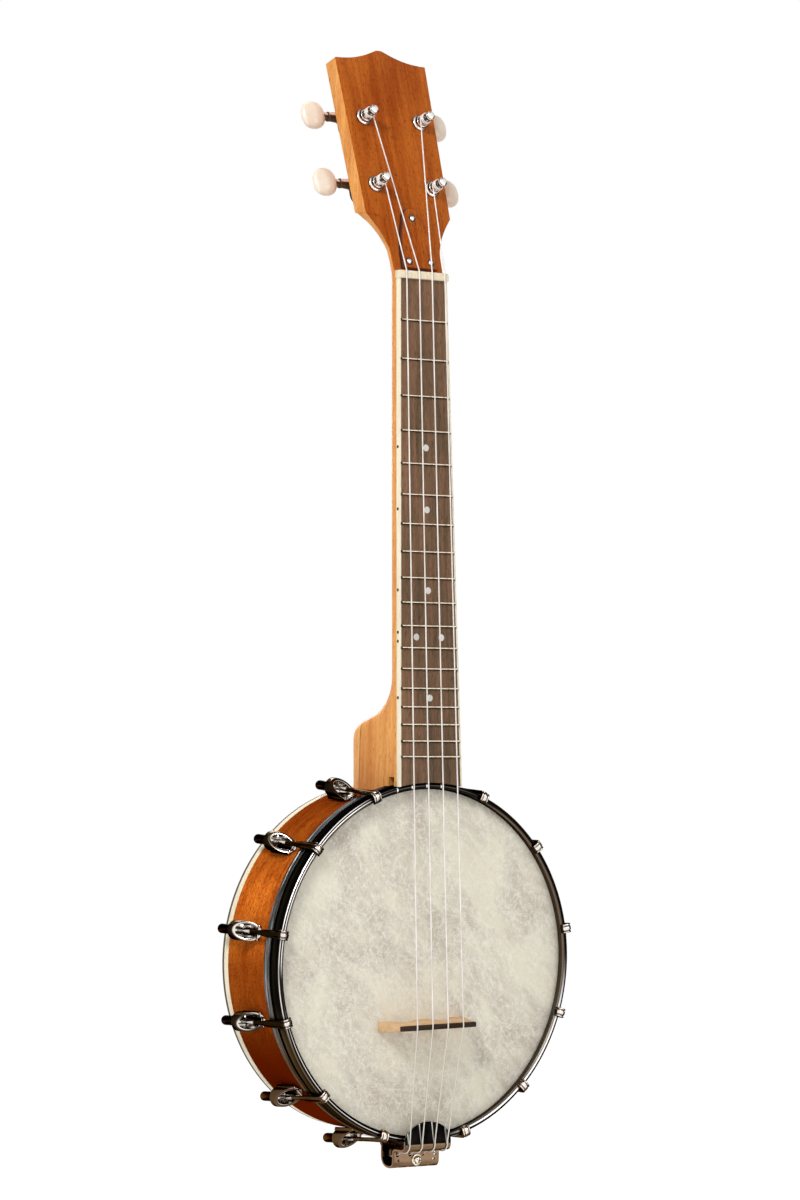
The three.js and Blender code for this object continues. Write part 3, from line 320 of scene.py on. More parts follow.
def turned(profile: Outline, steps: int = 48, closed: bool = False) -> Form:
    """Spins a profile about the Y axis.

    Args:
        profile: Pairs of radius and height.
        steps: Pieces round the axis.
        closed: Joins the last pair to the first, for a ring.

    Returns:
        The turned form.
    """
    form = bmesh.new()
    verts = [form.verts.new((radius, height, 0)) for radius, height in profile]
    ends = verts[1:] + (verts[:1] if closed else [])
    edges = [form.edges.new(pair) for pair in zip(verts, ends)]
    bmesh.ops.spin(
        form,
        geom=verts + edges,
        cent=(0, 0, 0),
        axis=(0, 1, 0),
        dvec=(0, 0, 0),
        angle=math.tau,
        steps=steps,
        use_merge=True,
        use_duplicate=False,
    )
    return form


def drawn(corners: Sequence[Point], along: Point) -> Form:
    """Extrudes a flat face along a vector.

    Args:
        corners: The corners of the face.
        along: The way and distance it is drawn out.

    Returns:
        The prism.
    """
    form = bmesh.new()
    face = form.faces.new([form.verts.new(corner) for corner in corners])
    made = bmesh.ops.extrude_face_region(form, geom=[face])
    moved = [part for part in made["geom"] if isinstance(part, bmesh.types.BMVert)]
    bmesh.ops.translate(form, vec=along, verts=moved)
    return form


def slab(outline: Outline, low: float, high: float) -> Form:
    """Makes a plate from an outline in x and z, between two depths in y."""
    return drawn([(x, low, z) for x, z in outline], (0, high - low, 0))


def across(outline: Outline, half: float) -> Form:
    """Makes a bar from an outline in y and z, as far as half to each side in x."""
    return drawn([(-half, y, z) for y, z in outline], (2 * half, 0, 0))


def bar(half: float, thick: float, front: float, depth: float) -> Form:
    """Makes a small bar along x, from half its length and height and from its front and depth in y."""
    corners = [(-half, front, -thick), (half, front, -thick), (half, front, thick), (-half, front, thick)]
    return drawn(corners, (0, depth, 0))


def skin(rows: Sequence[Sequence[Vector]]) -> Form:
    """Lays a closed skin over rings of points, with its ends filled.

    Args:
        rows: Rings with the same count of points.

    Returns:
        The skinned form.
    """
    form = bmesh.new()
    count = len(rows[0])
    last = len(rows) - 1
    bmesh.ops.create_grid(form, x_segments=count, y_segments=last, size=0.5)
    for vert in form.verts:
        column = round((vert.co.x + 0.5) * count) % count
        vert.co = rows[round((vert.co.y + 0.5) * last)][column]
    return form


def rod(start: Point, end: Point, radius: float, tip: float = 0.0, sides: int = 24) -> Form:
    """Makes a straight round or faceted rod.

    Args:
        start: First end.
        end: Last end.
        radius: Radius at the first end.
        tip: Radius at the last end, or 0 for the same radius.
        sides: Faces round the rod.

    Returns:
        The rod.
    """
    first, last = Vector(start), Vector(end)
    turn = (last - first).to_track_quat("Z", "Y").to_matrix().to_4x4()
    form = bmesh.new()
    bmesh.ops.create_cone(
        form,
        cap_ends=True,
        segments=sides,
        radius1=radius,
        radius2=tip or radius,
        depth=(last - first).length,
        matrix=Matrix.Translation((first + last) / 2) @ turn,
    )
    return form


def tidied(form: Form) -> Form:
    """Merges doubles, fills open ends and turns the faces outwards."""
    bmesh.ops.remove_doubles(form, verts=form.verts, dist=1e-3)
    rims = [edge for edge in form.edges if edge.is_boundary]
    if rims:
        bmesh.ops.holes_fill(form, edges=rims, sides=0)
    bmesh.ops.recalc_face_normals(form, faces=form.faces)
    return form


def softened(
    form: Form,
    width: float,
    segments: int = 2,
    chosen: Callable[[bmesh.types.BMEdge], bool] = lambda edge: True,
    angle: float = 32.0,
) -> Form:
    """Bevels the sharp edges of a form.

    Args:
        form: The form.
        width: Width of the bevel.
        segments: Steps in it.
        chosen: Says which of the sharp edges are bevelled.
        angle: The least angle between faces that counts as sharp, in degrees.

    Returns:
        The same form.
    """
    tidied(form)
    least = math.radians(angle)
    sharp = [edge for edge in form.edges if edge.calc_face_angle(0) > least and chosen(edge)]
    bmesh.ops.bevel(
        form, geom=sharp, offset=width, segments=segments, profile=0.5, affect="EDGES", material=-1, clamp_overlap=True
    )
    return form


def sliced(form: Form, place: Vector, normal: Vector, outer: bool = True) -> list[bmesh.types.BMEdge]:
    """Cuts a form off along a plane.

    Args:
        form: The form.
        place: A point of the plane.
        normal: The way that the plane faces.
        outer: False takes away the side behind the plane instead of the one before it.

    Returns:
        The edges along the cut.
    """
    parts = form.verts[:] + form.edges[:] + form.faces[:]
    cut = bmesh.ops.bisect_plane(
        form, geom=parts, dist=1e-4, plane_co=place, plane_no=normal, clear_outer=outer, clear_inner=not outer
    )
    return [part for part in cut["geom_cut"] if isinstance(part, bmesh.types.BMEdge)]


class Shape:
    """A piece in the making: closed forms in millimetres, each a shell of its own."""

    def __init__(self) -> None:
        """Starts with nothing in it."""
        self.mesh = bmesh.new()

    def add(self, form: Form, place: Matrix = STILL, finish: int = 0) -> "Shape":
        """Puts a form in its place and takes it in.

        Args:
            form: The form, which is used up.
            place: Its frame.
            finish: Number of the finish its faces take.

        Returns:
            This shape.
        """
        tidied(form)
        form.transform(place)
        if place.determinant() < 0:
            bmesh.ops.reverse_faces(form, faces=form.faces)
        for face in form.faces:
            face.material_index = finish or face.material_index
        part = bpy.data.meshes.new("part")
        form.to_mesh(part)
        form.free()
        self.mesh.from_mesh(part)
        bpy.data.meshes.remove(part)
        return self

    def cut(self, tools: "Shape") -> "Shape":
        """Cuts other forms out of this shape.

        Args:
            tools: What is cut away.

        Returns:
            This shape.
        """
        bodies = []
        for shape in (self, tools):
            mesh = bpy.data.meshes.new("work")
            shape.mesh.to_mesh(mesh)
            body = bpy.data.objects.new("work", mesh)
            bpy.context.scene.collection.objects.link(body)
            bodies.append(body)
        work, tool = bodies
        modifier = work.modifiers.new("cut", "BOOLEAN")
        modifier.operation = "DIFFERENCE"
        modifier.solver = "EXACT"
        modifier.object = tool
        bpy.context.view_layer.update()
        result = bpy.data.meshes.new_from_object(work.evaluated_get(bpy.context.evaluated_depsgraph_get()))
        self.mesh.clear()
        self.mesh.from_mesh(result)
        for body in bodies:
            mesh = body.data
            bpy.data.objects.remove(body)
            bpy.data.meshes.remove(mesh)
        bpy.data.meshes.remove(result)
        return self


# Shader tools


class Signal:
    """A socket that numbers and other sockets can be reckoned with."""

    def __init__(self, shader: "Shader", socket: Socket) -> None:
        """Wraps a socket of a shader's node."""
        self.shader = shader
        self.socket = socket

    def _with(self, operation: str, *values: "Signal | float") -> "Signal":
        """Adds one Math node on up to three values."""
        names = ("Value", "Value_001", "Value_002")
        node = self.shader.node("ShaderNodeMath", {"operation": operation}, dict(zip(names, values)))
        return Signal(self.shader, node.outputs[0])

    def __add__(self, other: "Signal | float") -> "Signal":
        """Adds."""
        return self._with("ADD", self, other)

    __radd__ = __add__

    def __sub__(self, other: "Signal | float") -> "Signal":
        """Takes away."""
        return self._with("SUBTRACT", self, other)

    def __rsub__(self, other: float) -> "Signal":
        """Is taken away from a number."""
        return self._with("SUBTRACT", other, self)

    def __mul__(self, other: "Signal | float") -> "Signal":
        """Multiplies."""
        return self._with("MULTIPLY", self, other)

    __rmul__ = __mul__

    def __abs__(self) -> "Signal":
        """Drops the sign."""
        return self._with("ABSOLUTE", self)

    def larger(self, other: "Signal | float") -> "Signal":
        """Takes the larger of two values."""
        return self._with("MAXIMUM", self, other)

    def root(self) -> "Signal":
        """Takes the square root."""
        return self._with("SQRT", self)

    def angle(self, other: "Signal") -> "Signal":
        """Gives the angle whose tangent is this value over the other."""
        return self._with("ARCTAN2", self, other)

    def rise(self, low: float, high: float) -> "Signal":
        """Rises smoothly from 0 at low to 1 at high."""
        sockets = {"Value": self, "From Min": low, "From Max": high}
        node = self.shader.node("ShaderNodeMapRange", {"interpolation_type": "SMOOTHSTEP"}, sockets)
        return Signal(self.shader, node.outputs["Result"])

    def fall(self, low: float, high: float) -> "Signal":
        """Falls smoothly from 1 at low to 0 at high."""
        return 1 - self.rise(low, high)

    def near(self, inner: float, outer: float) -> "Signal":
        """Is 1 within inner of zero and falls smoothly to 0 at outer."""
        return 1 - abs(self).rise(inner, outer)


def largest(masks: Iterable[Signal]) -> Signal | float:
    """Takes the largest of several values, or 0 where there are none."""
    return reduce(lambda peak, mask: mask.larger(peak), masks, 0.0)


class Shader:
    """The nodes of one material or world, added one by one."""

    def __init__(self, tree: bpy.types.NodeTree) -> None:
        """Takes an emptied node tree."""
        self.tree = tree
        tree.nodes.clear()

    def node(self, kind: str, settings: dict | None = None, sockets: dict | None = None) -> bpy.types.Node:
        """Adds a node.

        Args:
            kind: The node's type.
            settings: Its settings, with a ramp's stops as pairs of place and colour.
            sockets: Values or links of its sockets, by name or identifier.

        Returns:
            The node.
        """
        made = self.tree.nodes.new(kind)
        for name, value in (settings or {}).items():
            if name == "stops":
                elements = made.color_ramp.elements
                for at, (place, colour) in enumerate(value):
                    element = elements[at] if at < 2 else elements.new(place)
                    element.position = place
                    element.color = colour
            else:
                setattr(made, name, value)
        for name, value in (sockets or {}).items():
            socket = next((s for s in made.inputs if s.identifier == name), None) or made.inputs[name]
            value = value.socket if isinstance(value, Signal) else value
            if isinstance(value, bpy.types.NodeSocket):
                self.tree.links.new(value, socket)
            else:
                socket.default_value = value
        return made

    def place(self, centre: Point, turn: Point = (0, 0, 0), stretch: Point = (1, 1, 1)) -> Socket:
        """Gives the object's own coordinates in millimetres.

        Args:
            centre: The pattern's centre in metres.
            turn: The pattern's turn in degrees.
            stretch: How much each coordinate is multiplied.

        Returns:
            The vector socket.
        """
        coordinates = self.node("ShaderNodeTexCoord").outputs["Object"]
        moved = self.node(
            "ShaderNodeVectorMath", {"operation": "SUBTRACT"}, {"Vector": coordinates, "Vector_001": tuple(centre)}
        )
        turned_by = self.node(
            "ShaderNodeMapping", None, {"Vector": moved.outputs[0], "Rotation": [math.radians(t) for t in turn]}
        )
        scale = {"Vector": turned_by.outputs[0], "Scale": tuple(1000 * s for s in stretch)}
        return self.node("ShaderNodeMapping", None, scale).outputs[0]

    def parts(self, vector: Socket) -> list[Signal]:
        """Splits a vector in its three numbers."""
        return [Signal(self, out) for out in self.node("ShaderNodeSeparateXYZ", None, {"Vector": vector}).outputs]

    def joined(self, *values: Signal | float) -> Socket:
        """Makes a vector from three numbers."""
        return self.node("ShaderNodeCombineXYZ", None, dict(zip("XYZ", values))).outputs[0]

    def noise(
        self, vector: Socket, scale: float, detail: float = 3, roughness: float = 0.5, bend: float = 0
    ) -> Signal:
        """Gives a cloudy value from about 0.3 to 0.7.

        Args:
            vector: Where it is read.
            scale: Clouds per unit.
            detail: Finer clouds in each cloud.
            roughness: How strong the finer ones are.
            bend: How much the clouds are warped.

        Returns:
            The value.
        """
        sockets = {"Vector": vector, "Scale": scale, "Detail": detail, "Roughness": roughness, "Distortion": bend}
        return Signal(self, self.node("ShaderNodeTexNoise", None, sockets).outputs[0])

    def blend(self, share: Signal | float, first: object, second: object, mode: str = "MIX") -> Socket:
        """Mixes two colours.

        Args:
            share: How much of the second colour.
            first: The first colour or its socket.
            second: The second colour or its socket.
            mode: How they blend.

        Returns:
            The colour socket.
        """
        settings = {"data_type": "RGBA", "blend_type": mode}
        sockets = {"Factor_Float": share, "A_Color": first, "B_Color": second}
        node = self.node("ShaderNodeMix", settings, sockets)
        return next(out for out in node.outputs if out.identifier == "Result_Color")

    def ramp(self, value: Signal, stops: Sequence[tuple[float, Colour]]) -> Socket:
        """Turns a value into a colour through a ramp."""
        return self.node("ShaderNodeValToRGB", {"stops": stops}, {"Fac": value}).outputs[0]

    def bump(self, height: Signal, strength: float, distance: float) -> Socket:
        """Gives the surface a relief, with its depth in metres."""
        sockets = {"Height": height, "Strength": strength, "Distance": distance}
        return self.node("ShaderNodeBump", None, sockets).outputs[0]

    def facing(self) -> Socket:
        """Gives the way the surface faces, in the object's own frame."""
        return self.node("ShaderNodeTexCoord").outputs["Normal"]

    def rays(self, *kinds: str) -> Signal | float:
        """Is 1 for rays of any of these kinds."""
        outputs = self.node("ShaderNodeLightPath").outputs
        return largest(Signal(self, outputs[f"Is {kind} Ray"]) for kind in kinds)

    def surface(self, colour: Socket | Colour, roughness: Signal | float, more: dict) -> None:
        """Ends the material in one surface shader.

        Args:
            colour: Its colour.
            roughness: Its roughness.
            more: Its other sockets.
        """
        sockets = {"Base Color": colour, "Roughness": roughness, **more}
        surface = self.node("ShaderNodeBsdfPrincipled", None, sockets)
        self.node("ShaderNodeOutputMaterial", None, {"Surface": surface.outputs[0]})


# Finishes


class Grain(Enum):
    """Which way the fibres of a wood run."""

    ALONG = "up the neck"
    ROUND = "round the pot"
    ACROSS = "across the head"


@dataclass(frozen=True)
class Finish:
    """What every finish has: a name and the centre of its pattern."""

    name: str
    centre: tuple[float, float, float] = (0.0, 0.0, 0.0)

    def spot(self, shader: Shader) -> list[Signal]:
        """Gives x, y and z in millimetres from the pattern's centre."""
        return shader.parts(shader.place(self.centre))

    def cloud(self, shader: Shader, scale: float, detail: float = 3, roughness: float = 0.5) -> Signal:
        """Gives a cloudy value that is alike in every direction."""
        return shader.noise(shader.place(self.centre), scale, detail, roughness)

    def paint(self, shader: Shader) -> None:
        """Adds the finish's nodes to a shader."""
        raise NotImplementedError


@dataclass(frozen=True, kw_only=True)
class Wood(Finish):
    """An open-grained wood under a thin varnish, with its sizes in millimetres."""

    dark: Colour
    light: Colour
    pore: Colour
    # Colour of the painted shade that darkens the rim.
    low: Colour = tint(98, 26, 0)
    grain: Grain = Grain.ALONG
    ring: float = 101.0
    lean: float = 0.0
    breadth: float = 7.0
    figure: float = 0.09
    pore_length: float = 5.0
    pore_breadth: float = 0.5
    pore_share: float = 0.6
    pore_level: float = 0.6
    roughness: float = 0.34
    coat: float = 0.05
    specular: float = 0.08
    relief: float = 0.35
    seam: float = 999.0
    seam_top: float = 150.0
    painted_shade_share: float = 0.0

    def fibres(self, shader: Shader) -> Socket:
        """Gives coordinates whose third number runs along the fibres."""
        where = shader.place(self.centre, (self.lean, 0, 0))
        x, y, z = shader.parts(where)
        if self.grain is Grain.ALONG:
            return where
        if self.grain is Grain.ACROSS:
            return shader.joined(z, y, x)
        return shader.joined(y + (x * x + z * z).root(), abs(x) * 0.02, x.angle(z) * self.ring)

    def shade(self, shader: Shader) -> Signal:
        """Gives how deep the painted shade is on the rim: towards its bottom and top, and at its front as the hoops'
        shadow.
        """
        _, depth, height = self.spot(shader)
        low = (0 - height).rise(-20, 62).larger((0 - height).rise(-26, 8) * 0.66)
        return low.larger(height.rise(36, 88) * 0.7).larger(depth.fall(10, 26) * 0.45)

    def paint(self, shader: Shader) -> None:
        """Adds broad figure, fine fibres and pores, the glue line between two blocks, and the rim's painted shade."""
        across_x, across_y, along = shader.parts(self.fibres(shader))
        block = along.fall(self.seam_top, self.seam_top + 2)
        behind = across_y.rise(self.seam - 0.02, self.seam + 0.02) * block
        glue = (across_y - self.seam).near(0.3, 0.7) * block
        across_x = across_x + behind * 43

        def drawn_out(start: Signal, stretch: float, *settings: float) -> Signal:
            """Gives a cloudy value drawn out along the fibres, from the settings of noise."""
            return shader.noise(shader.joined(start, across_y, along * stretch), *settings)

        sway = drawn_out(across_x, 0.1, 0.06, 2)
        broad = drawn_out(across_x + sway * 8, self.figure, 1 / self.breadth, 4, 0.6, 0.8)
        ribbon = drawn_out(across_x, self.figure * 0.4, 0.45, 3, 0.6)
        fine = drawn_out(across_x, 0.05, 3.2, 3, 0.65)
        patch = drawn_out(across_x, 0.5, 0.025, 2)
        flecks = drawn_out(across_x, self.pore_breadth / self.pore_length, 1 / self.pore_breadth, 2, 0.6)
        tone = broad * 0.5 + ribbon * 0.25 + fine * 0.3 + patch * 0.35 + behind * 0.06
        body = shader.blend(tone.rise(0.5, 0.9), self.dark, self.light)
        body = shader.blend(glue * 0.75, body, self.pore)
        # Painted shade: the rim darker towards its bottom and top, and at its front by the hoops.
        if self.painted_shade_share:
            body = shader.blend(self.shade(shader) * self.painted_shade_share, body, self.low)
        pores = flecks.rise(self.pore_level, self.pore_level + 0.09)
        more = {"Coat Weight": self.coat, "Coat Roughness": 0.12, "Specular IOR Level": self.specular}
        more["Normal"] = shader.bump(1 - pores * 0.8 + fine * 0.25, self.relief, 0.0002)
        colour = shader.blend(pores * self.pore_share, body, self.pore)
        shader.surface(colour, self.roughness + pores * 0.2 + fine * 0.08, more)


@dataclass(frozen=True)
class Glint:
    """A painted highlight of a soft box seen in metal: the way a surface faces to show it, and how wide it is."""

    facing: tuple[float, float, float]
    low: float
    high: float

    def mask(self, facing: Sequence[Signal]) -> Signal:
        """Gives 1 where a surface faces the soft box, for its painted highlight."""
        x, y, z = (part * share for part, share in zip(facing, self.facing))
        return (x + y + z).rise(self.low, self.high)


# Painted highlights of soft boxes in front, above, and on the tuner stems.
FRONT_GLINT = Glint((-0.36, -0.932, 0.05), 0.86, 0.93)
SKY_GLINT = Glint((-0.35, -0.3, 0.887), 0.965, 0.99)
STEM_GLINT = Glint((-0.05, -0.74, 0.67), 0.88, 0.98)


@dataclass(frozen=True, kw_only=True)
class Metal(Finish):
    """A plated metal whose colour is painted reflection: a dim studio, painted highlights of a few soft boxes and the
    brown ground below.
    """

    # Tones of the painted reflection of the studio, and of the painted highlights.
    shadow: Colour
    middle: Colour
    bright: Colour = tint(252, 248, 242)
    # Colour and share of the painted reflection of the ground below.
    painted_ground_reflection: Colour = tint(112, 88, 64)
    edge: Colour = tint(110, 104, 98)
    ground_reflection_share: float = 0.6
    roughness: float = 0.13
    facets: float = 1.5
    low: float = 0.45
    high: float = 0.66
    mirror: float = 1.0
    # Depth from which the surface is painted bright, as a painted highlight.
    painted_highlight_from: float = 0.0
    glints: tuple[Glint, ...] = (FRONT_GLINT, SKY_GLINT)

    def paint(self, shader: Shader) -> None:
        """Adds the painted reflections of the studio, the soft boxes and the ground below, and faint smears."""
        facing = shader.facing()
        _, depth, height = self.spot(shader)
        haze = self.cloud(shader, 0.6, 4, 0.6)
        # Painted reflection of a dim studio, by the way the surface faces.
        painted_room_reflection = shader.noise(facing, self.facets, 2, 0.5, 0.4) + haze * 0.1 - 0.05
        colour = shader.blend(painted_room_reflection.rise(self.low, self.high), self.shadow, self.middle)
        # Painted reflection of the ground, towards the bottom.
        colour = shader.blend((0 - height).rise(20, 95) * self.ground_reflection_share, colour, self.painted_ground_reflection)
        # Painted highlights of the soft boxes, and from a depth on.
        painted_highlights = [glint.mask(shader.parts(facing)) for glint in self.glints]
        if self.painted_highlight_from:
            painted_highlights.append(depth.rise(self.painted_highlight_from, self.painted_highlight_from + 2))
        more = {"Metallic": self.mirror, "Specular Tint": self.edge, "Normal": shader.bump(haze, 0.05, 0.0001)}
        roughness = self.roughness + haze.rise(0.45, 0.7) * 0.12
        shader.surface(shader.blend(largest(painted_highlights), colour, self.bright), roughness, more)


# Tones and ramps of the painted reflections round the tension hoop's bead, one ramp for each part of the ring.
BLACK, DARK, BROWN, WHITE = tint(16, 13, 11), tint(46, 39, 33), tint(116, 100, 84), tint(240, 236, 232)
LEFT_EDGE = [(0.0, tint(36, 33, 28)), (0.14, BLACK), (0.19, WHITE), (0.235, WHITE), (0.28, DARK)]
LEFT = [*LEFT_EDGE, (0.37, BLACK), (0.5, DARK), (0.72, DARK), (0.8, BLACK), (1.0, BLACK)]
UPPER_LEFT = [*LEFT_EDGE, (0.39, BLACK), (0.44, WHITE), (0.475, WHITE), (0.53, DARK), (0.63, BROWN), (1.0, DARK)]
LOWER_LEFT = [(0.0, tint(98, 84, 64)), (0.16, tint(118, 102, 80)), (0.23, tint(54, 45, 34)), (0.28, BLACK)]
LOWER_LEFT += [(0.42, BLACK), (0.46, WHITE), (0.48, WHITE), (0.53, BLACK), (1.0, BLACK)]
UPPER_RIGHT = [(0.0, DARK), (0.28, BROWN), (0.36, BLACK), (0.66, BLACK), (0.71, BROWN), (0.76, DARK)]
UPPER_RIGHT += [(0.81, tint(136, 122, 108)), (0.9, BROWN), (1.0, tint(84, 72, 60))]
LOWER_RIGHT = [(0.0, DARK), (0.34, BLACK), (0.5, BLACK), (0.55, WHITE), (0.68, WHITE), (0.73, BLACK)]
LOWER_RIGHT += [(0.83, tint(124, 116, 106)), (0.93, tint(124, 116, 106)), (1.0, tint(90, 82, 72))]


@dataclass(frozen=True)
class HoopMetal(Finish):
    """Polished metal of the tension hoop, with painted reflections in the lines of five ramps along its round bead."""

    bead_reach: float = 102.2
    bead_top: float = -3.7
    dull: Colour = tint(64, 56, 46)
    edge: Colour = tint(60, 56, 52)
    # Spacing and sideways shift of the painted reflections of the strings.
    pitch: float = 10.4
    shift: float = 7.5

    def paint(self, shader: Shader) -> None:
        """Adds painted reflections by the angle round the bead, from its outer side at 0 to its inner side at 1."""
        x, y, z = self.spot(shader)
        reach = (x * x + z * z).root()
        drift = shader.noise(shader.joined(x.angle(z) * 2.2, reach * 0.2, y * 0.1), 1.3, 3, 0.6)
        turn = (self.bead_top - y).larger(0.0).angle(reach - self.bead_reach) * (1 / math.pi)
        place = turn + (drift - 0.5) * 0.06
        ramps = (LEFT, UPPER_LEFT, LOWER_LEFT, LOWER_RIGHT, UPPER_RIGHT)
        left, upper_left, lower_left, lower_right, upper_right = (shader.ramp(place, stops) for stops in ramps)
        colour = shader.blend(z.rise(-8, 4), left, upper_left)
        colour = shader.blend(drift.rise(0.5, 0.68) * 0.4, colour, self.dull)
        colour = shader.blend((0 - z).rise(20, 50) * x.fall(-5, 15), colour, lower_left)
        colour = shader.blend(x.rise(15, 45), colour, shader.blend(z.rise(-35, 5), lower_right, upper_right))
        # Painted reflections of the four strings near the hoop's top.
        strings = largest((x - number * self.pitch + self.shift).near(0.25, 0.6) for number in STRING_NUMBERS)
        strings = strings * turn.rise(0.15, 0.25) * turn.fall(0.6, 0.7)
        colour = shader.blend(z.rise(86, 98) * 0.92, colour, shader.blend(strings, BLACK, WHITE))
        more = {"Metallic": 1.0, "Specular Tint": self.edge, "Normal": shader.bump(drift, 0.03, 0.0001)}
        shader.surface(colour, 0.32 + drift * 0.1, more)


@dataclass(frozen=True)
class StreakedMetal(Finish):
    """A dull rolled strip with streaks along the ring, painted black at its front as a dark reflection that carries on
    the tension hoop's wall, and browner towards the ground as a painted reflection of it.
    """

    dark: Colour = tint(46, 42, 38)
    light: Colour = tint(164, 165, 166)
    painted_ground_reflection: Colour = tint(104, 80, 52)
    black: Colour = tint(16, 14, 12)
    front: float = 4.9

    def paint(self, shader: Shader) -> None:
        """Adds long streaks and cross tones."""
        x, y, z = self.spot(shader)
        turn = x.angle(z)
        streaks = shader.noise(shader.joined(turn * 2.2, y * 2.4, 0.0), 1.2, 4, 0.7)
        tones = shader.noise(shader.joined(turn * 2.5, y * 0.1, 0.0), 1.0, 3)
        colour = shader.blend((streaks * 0.8 + tones * 0.3).rise(0.52, 0.66), self.dark, self.light)
        # Painted reflection of the ground towards the bottom, and painted dark reflection at the front.
        colour = shader.blend((0 - z).rise(0, 80) * 0.85, colour, self.painted_ground_reflection)
        colour = shader.blend(y.rise(self.front - 0.15, self.front + 0.15), self.black, colour)
        more = {"Metallic": 1.0, "Specular Tint": self.dark, "Normal": shader.bump(streaks, 0.1, 0.0001)}
        shader.surface(colour, 0.3 + streaks * 0.15, more)


@dataclass(frozen=True)
class MirrorPlate(Finish):
    """Polished metal, painted near black as the reflection of a dark studio, with painted reflections of the four
    strings before it.
    """

    black: Colour = tint(9, 8, 8)
    grey: Colour = tint(26, 24, 23)
    painted_string_image: Colour = tint(222, 220, 218)
    # Spacing, foot and lean of the painted string reflections.
    pitch: float = 9.0
    foot: float = -105.5
    slope: float = -0.15

    def paint(self, shader: Shader) -> None:
        """Adds the painted reflections of the strings."""
        x, _, z = self.spot(shader)
        clouds = self.cloud(shader, 0.12, 2)
        leaned = x - (z - self.foot) * self.slope
        # Painted reflections of the four strings.
        strings = largest((leaned - number * self.pitch).near(0.25, 0.6) for number in STRING_NUMBERS)
        colour = shader.blend(clouds.rise(0.4, 0.7), self.black, self.grey)
        more = {"Metallic": 1.0, "Specular Tint": self.grey}
        shader.surface(shader.blend(strings, colour, self.painted_string_image), 0.1 + clouds * 0.06, more)


@dataclass(frozen=True)
class FretMetal(Finish):
    """Fret wire with a painted highlight on top and painted shade below it and at its ends."""

    # Colours of the painted highlight on the crown and the painted shade on the sides.
    crown: Colour = tint(226, 212, 190)
    side: Colour = tint(60, 48, 38)

    def paint(self, shader: Shader) -> None:
        """Paints the crown's highlight and the shade below it by the way that the surface faces."""
        sideways, _, upwards = shader.parts(shader.facing())
        wear = self.cloud(shader, 0.8)
        # Painted highlight on faces that look up, painted shade below and at the ends.
        top = upwards.rise(-0.35, 0.1) * sideways.near(0.3, 0.6)
        colour = shader.blend(top * (0.8 + wear * 0.4), self.side, self.crown)
        shader.surface(colour, 0.22 + wear * 0.15, {"Metallic": 1.0})


@dataclass(frozen=True)
class HeadSkin(Finish):
    """A mottled fibrous drum skin."""

    dark: Colour = tint(195, 184, 168)
    middle: Colour = tint(216, 208, 191)
    light: Colour = tint(231, 224, 203)
    strand: Colour = tint(244, 240, 228)
    windings: tuple[tuple[float, float], ...] = ((18, 0.09), (52, 0.12), (-40, 0.1), (80, 0.11), (-12, 0.13))

    def paint(self, shader: Shader) -> None:
        """Adds clouds, hair-thin fibres that lie every way and fine specks."""

        def brushed(turn: float, length: float, *settings: float) -> Signal:
            """Gives a cloudy value drawn out along a turned line, from the settings of noise."""
            return shader.noise(shader.place(self.centre, (0, turn, 0), (1, 1, length)), *settings)

        clouds = brushed(38, 0.6, 0.028, 6, 0.6, 0.6)
        grit = self.cloud(shader, 0.35, 5, 0.7)
        lines = (brushed(turn, 0.22, spacing, 5, 0.6, 1.2) for turn, spacing in self.windings)
        strands = largest((line - 0.5).near(0.0, 0.016) for line in lines)
        tone = clouds * 0.75 + brushed(42, 0.3, 0.22, 6, 0.62, 0.4) * 0.3 + (grit - 0.5) * 0.1
        colour = shader.ramp(tone, [(0.41, self.dark), (0.51, self.middle), (0.6, self.light)])
        colour = shader.blend(strands * (grit.rise(0.36, 0.56) * 0.75), colour, self.strand)
        more = {"Subsurface Weight": 0.05, "Subsurface Radius": (0.002, 0.002, 0.0015), "Subsurface Scale": 0.5}
        more |= {"Specular IOR Level": 0.3, "Normal": shader.bump(grit, 0.08, 0.0003)}
        shader.surface(colour, 0.5 + grit * 0.12, more)


@dataclass(frozen=True)
class Cream(Finish):
    """Cream plastic or bone with faint lines."""

    shade: Colour = tint(232, 220, 190)
    light: Colour = tint(250, 241, 216)
    dark_band: Colour = tint(48, 28, 12)
    dark_band_from: float = 99.0
    specular: float = 0.3

    def paint(self, shader: Shader) -> None:
        """Adds faint lines, and a dark band behind a given depth."""
        x, y, z = self.spot(shader)
        lines = shader.noise(shader.joined(x * 0.6, y * 1.6, z * 0.04), 1.0, 3, 0.55)
        specks = self.cloud(shader, 1.2)
        colour = shader.blend((lines * 0.7 + specks * 0.3).rise(0.35, 0.65), self.shade, self.light)
        colour = shader.blend(y.rise(self.dark_band_from, self.dark_band_from + 0.1) * 0.9, colour, self.dark_band)
        more = {"Specular IOR Level": self.specular, "Normal": shader.bump(specks, 0.05, 0.0001)}
        shader.surface(colour, 0.3 + specks * 0.1, more)


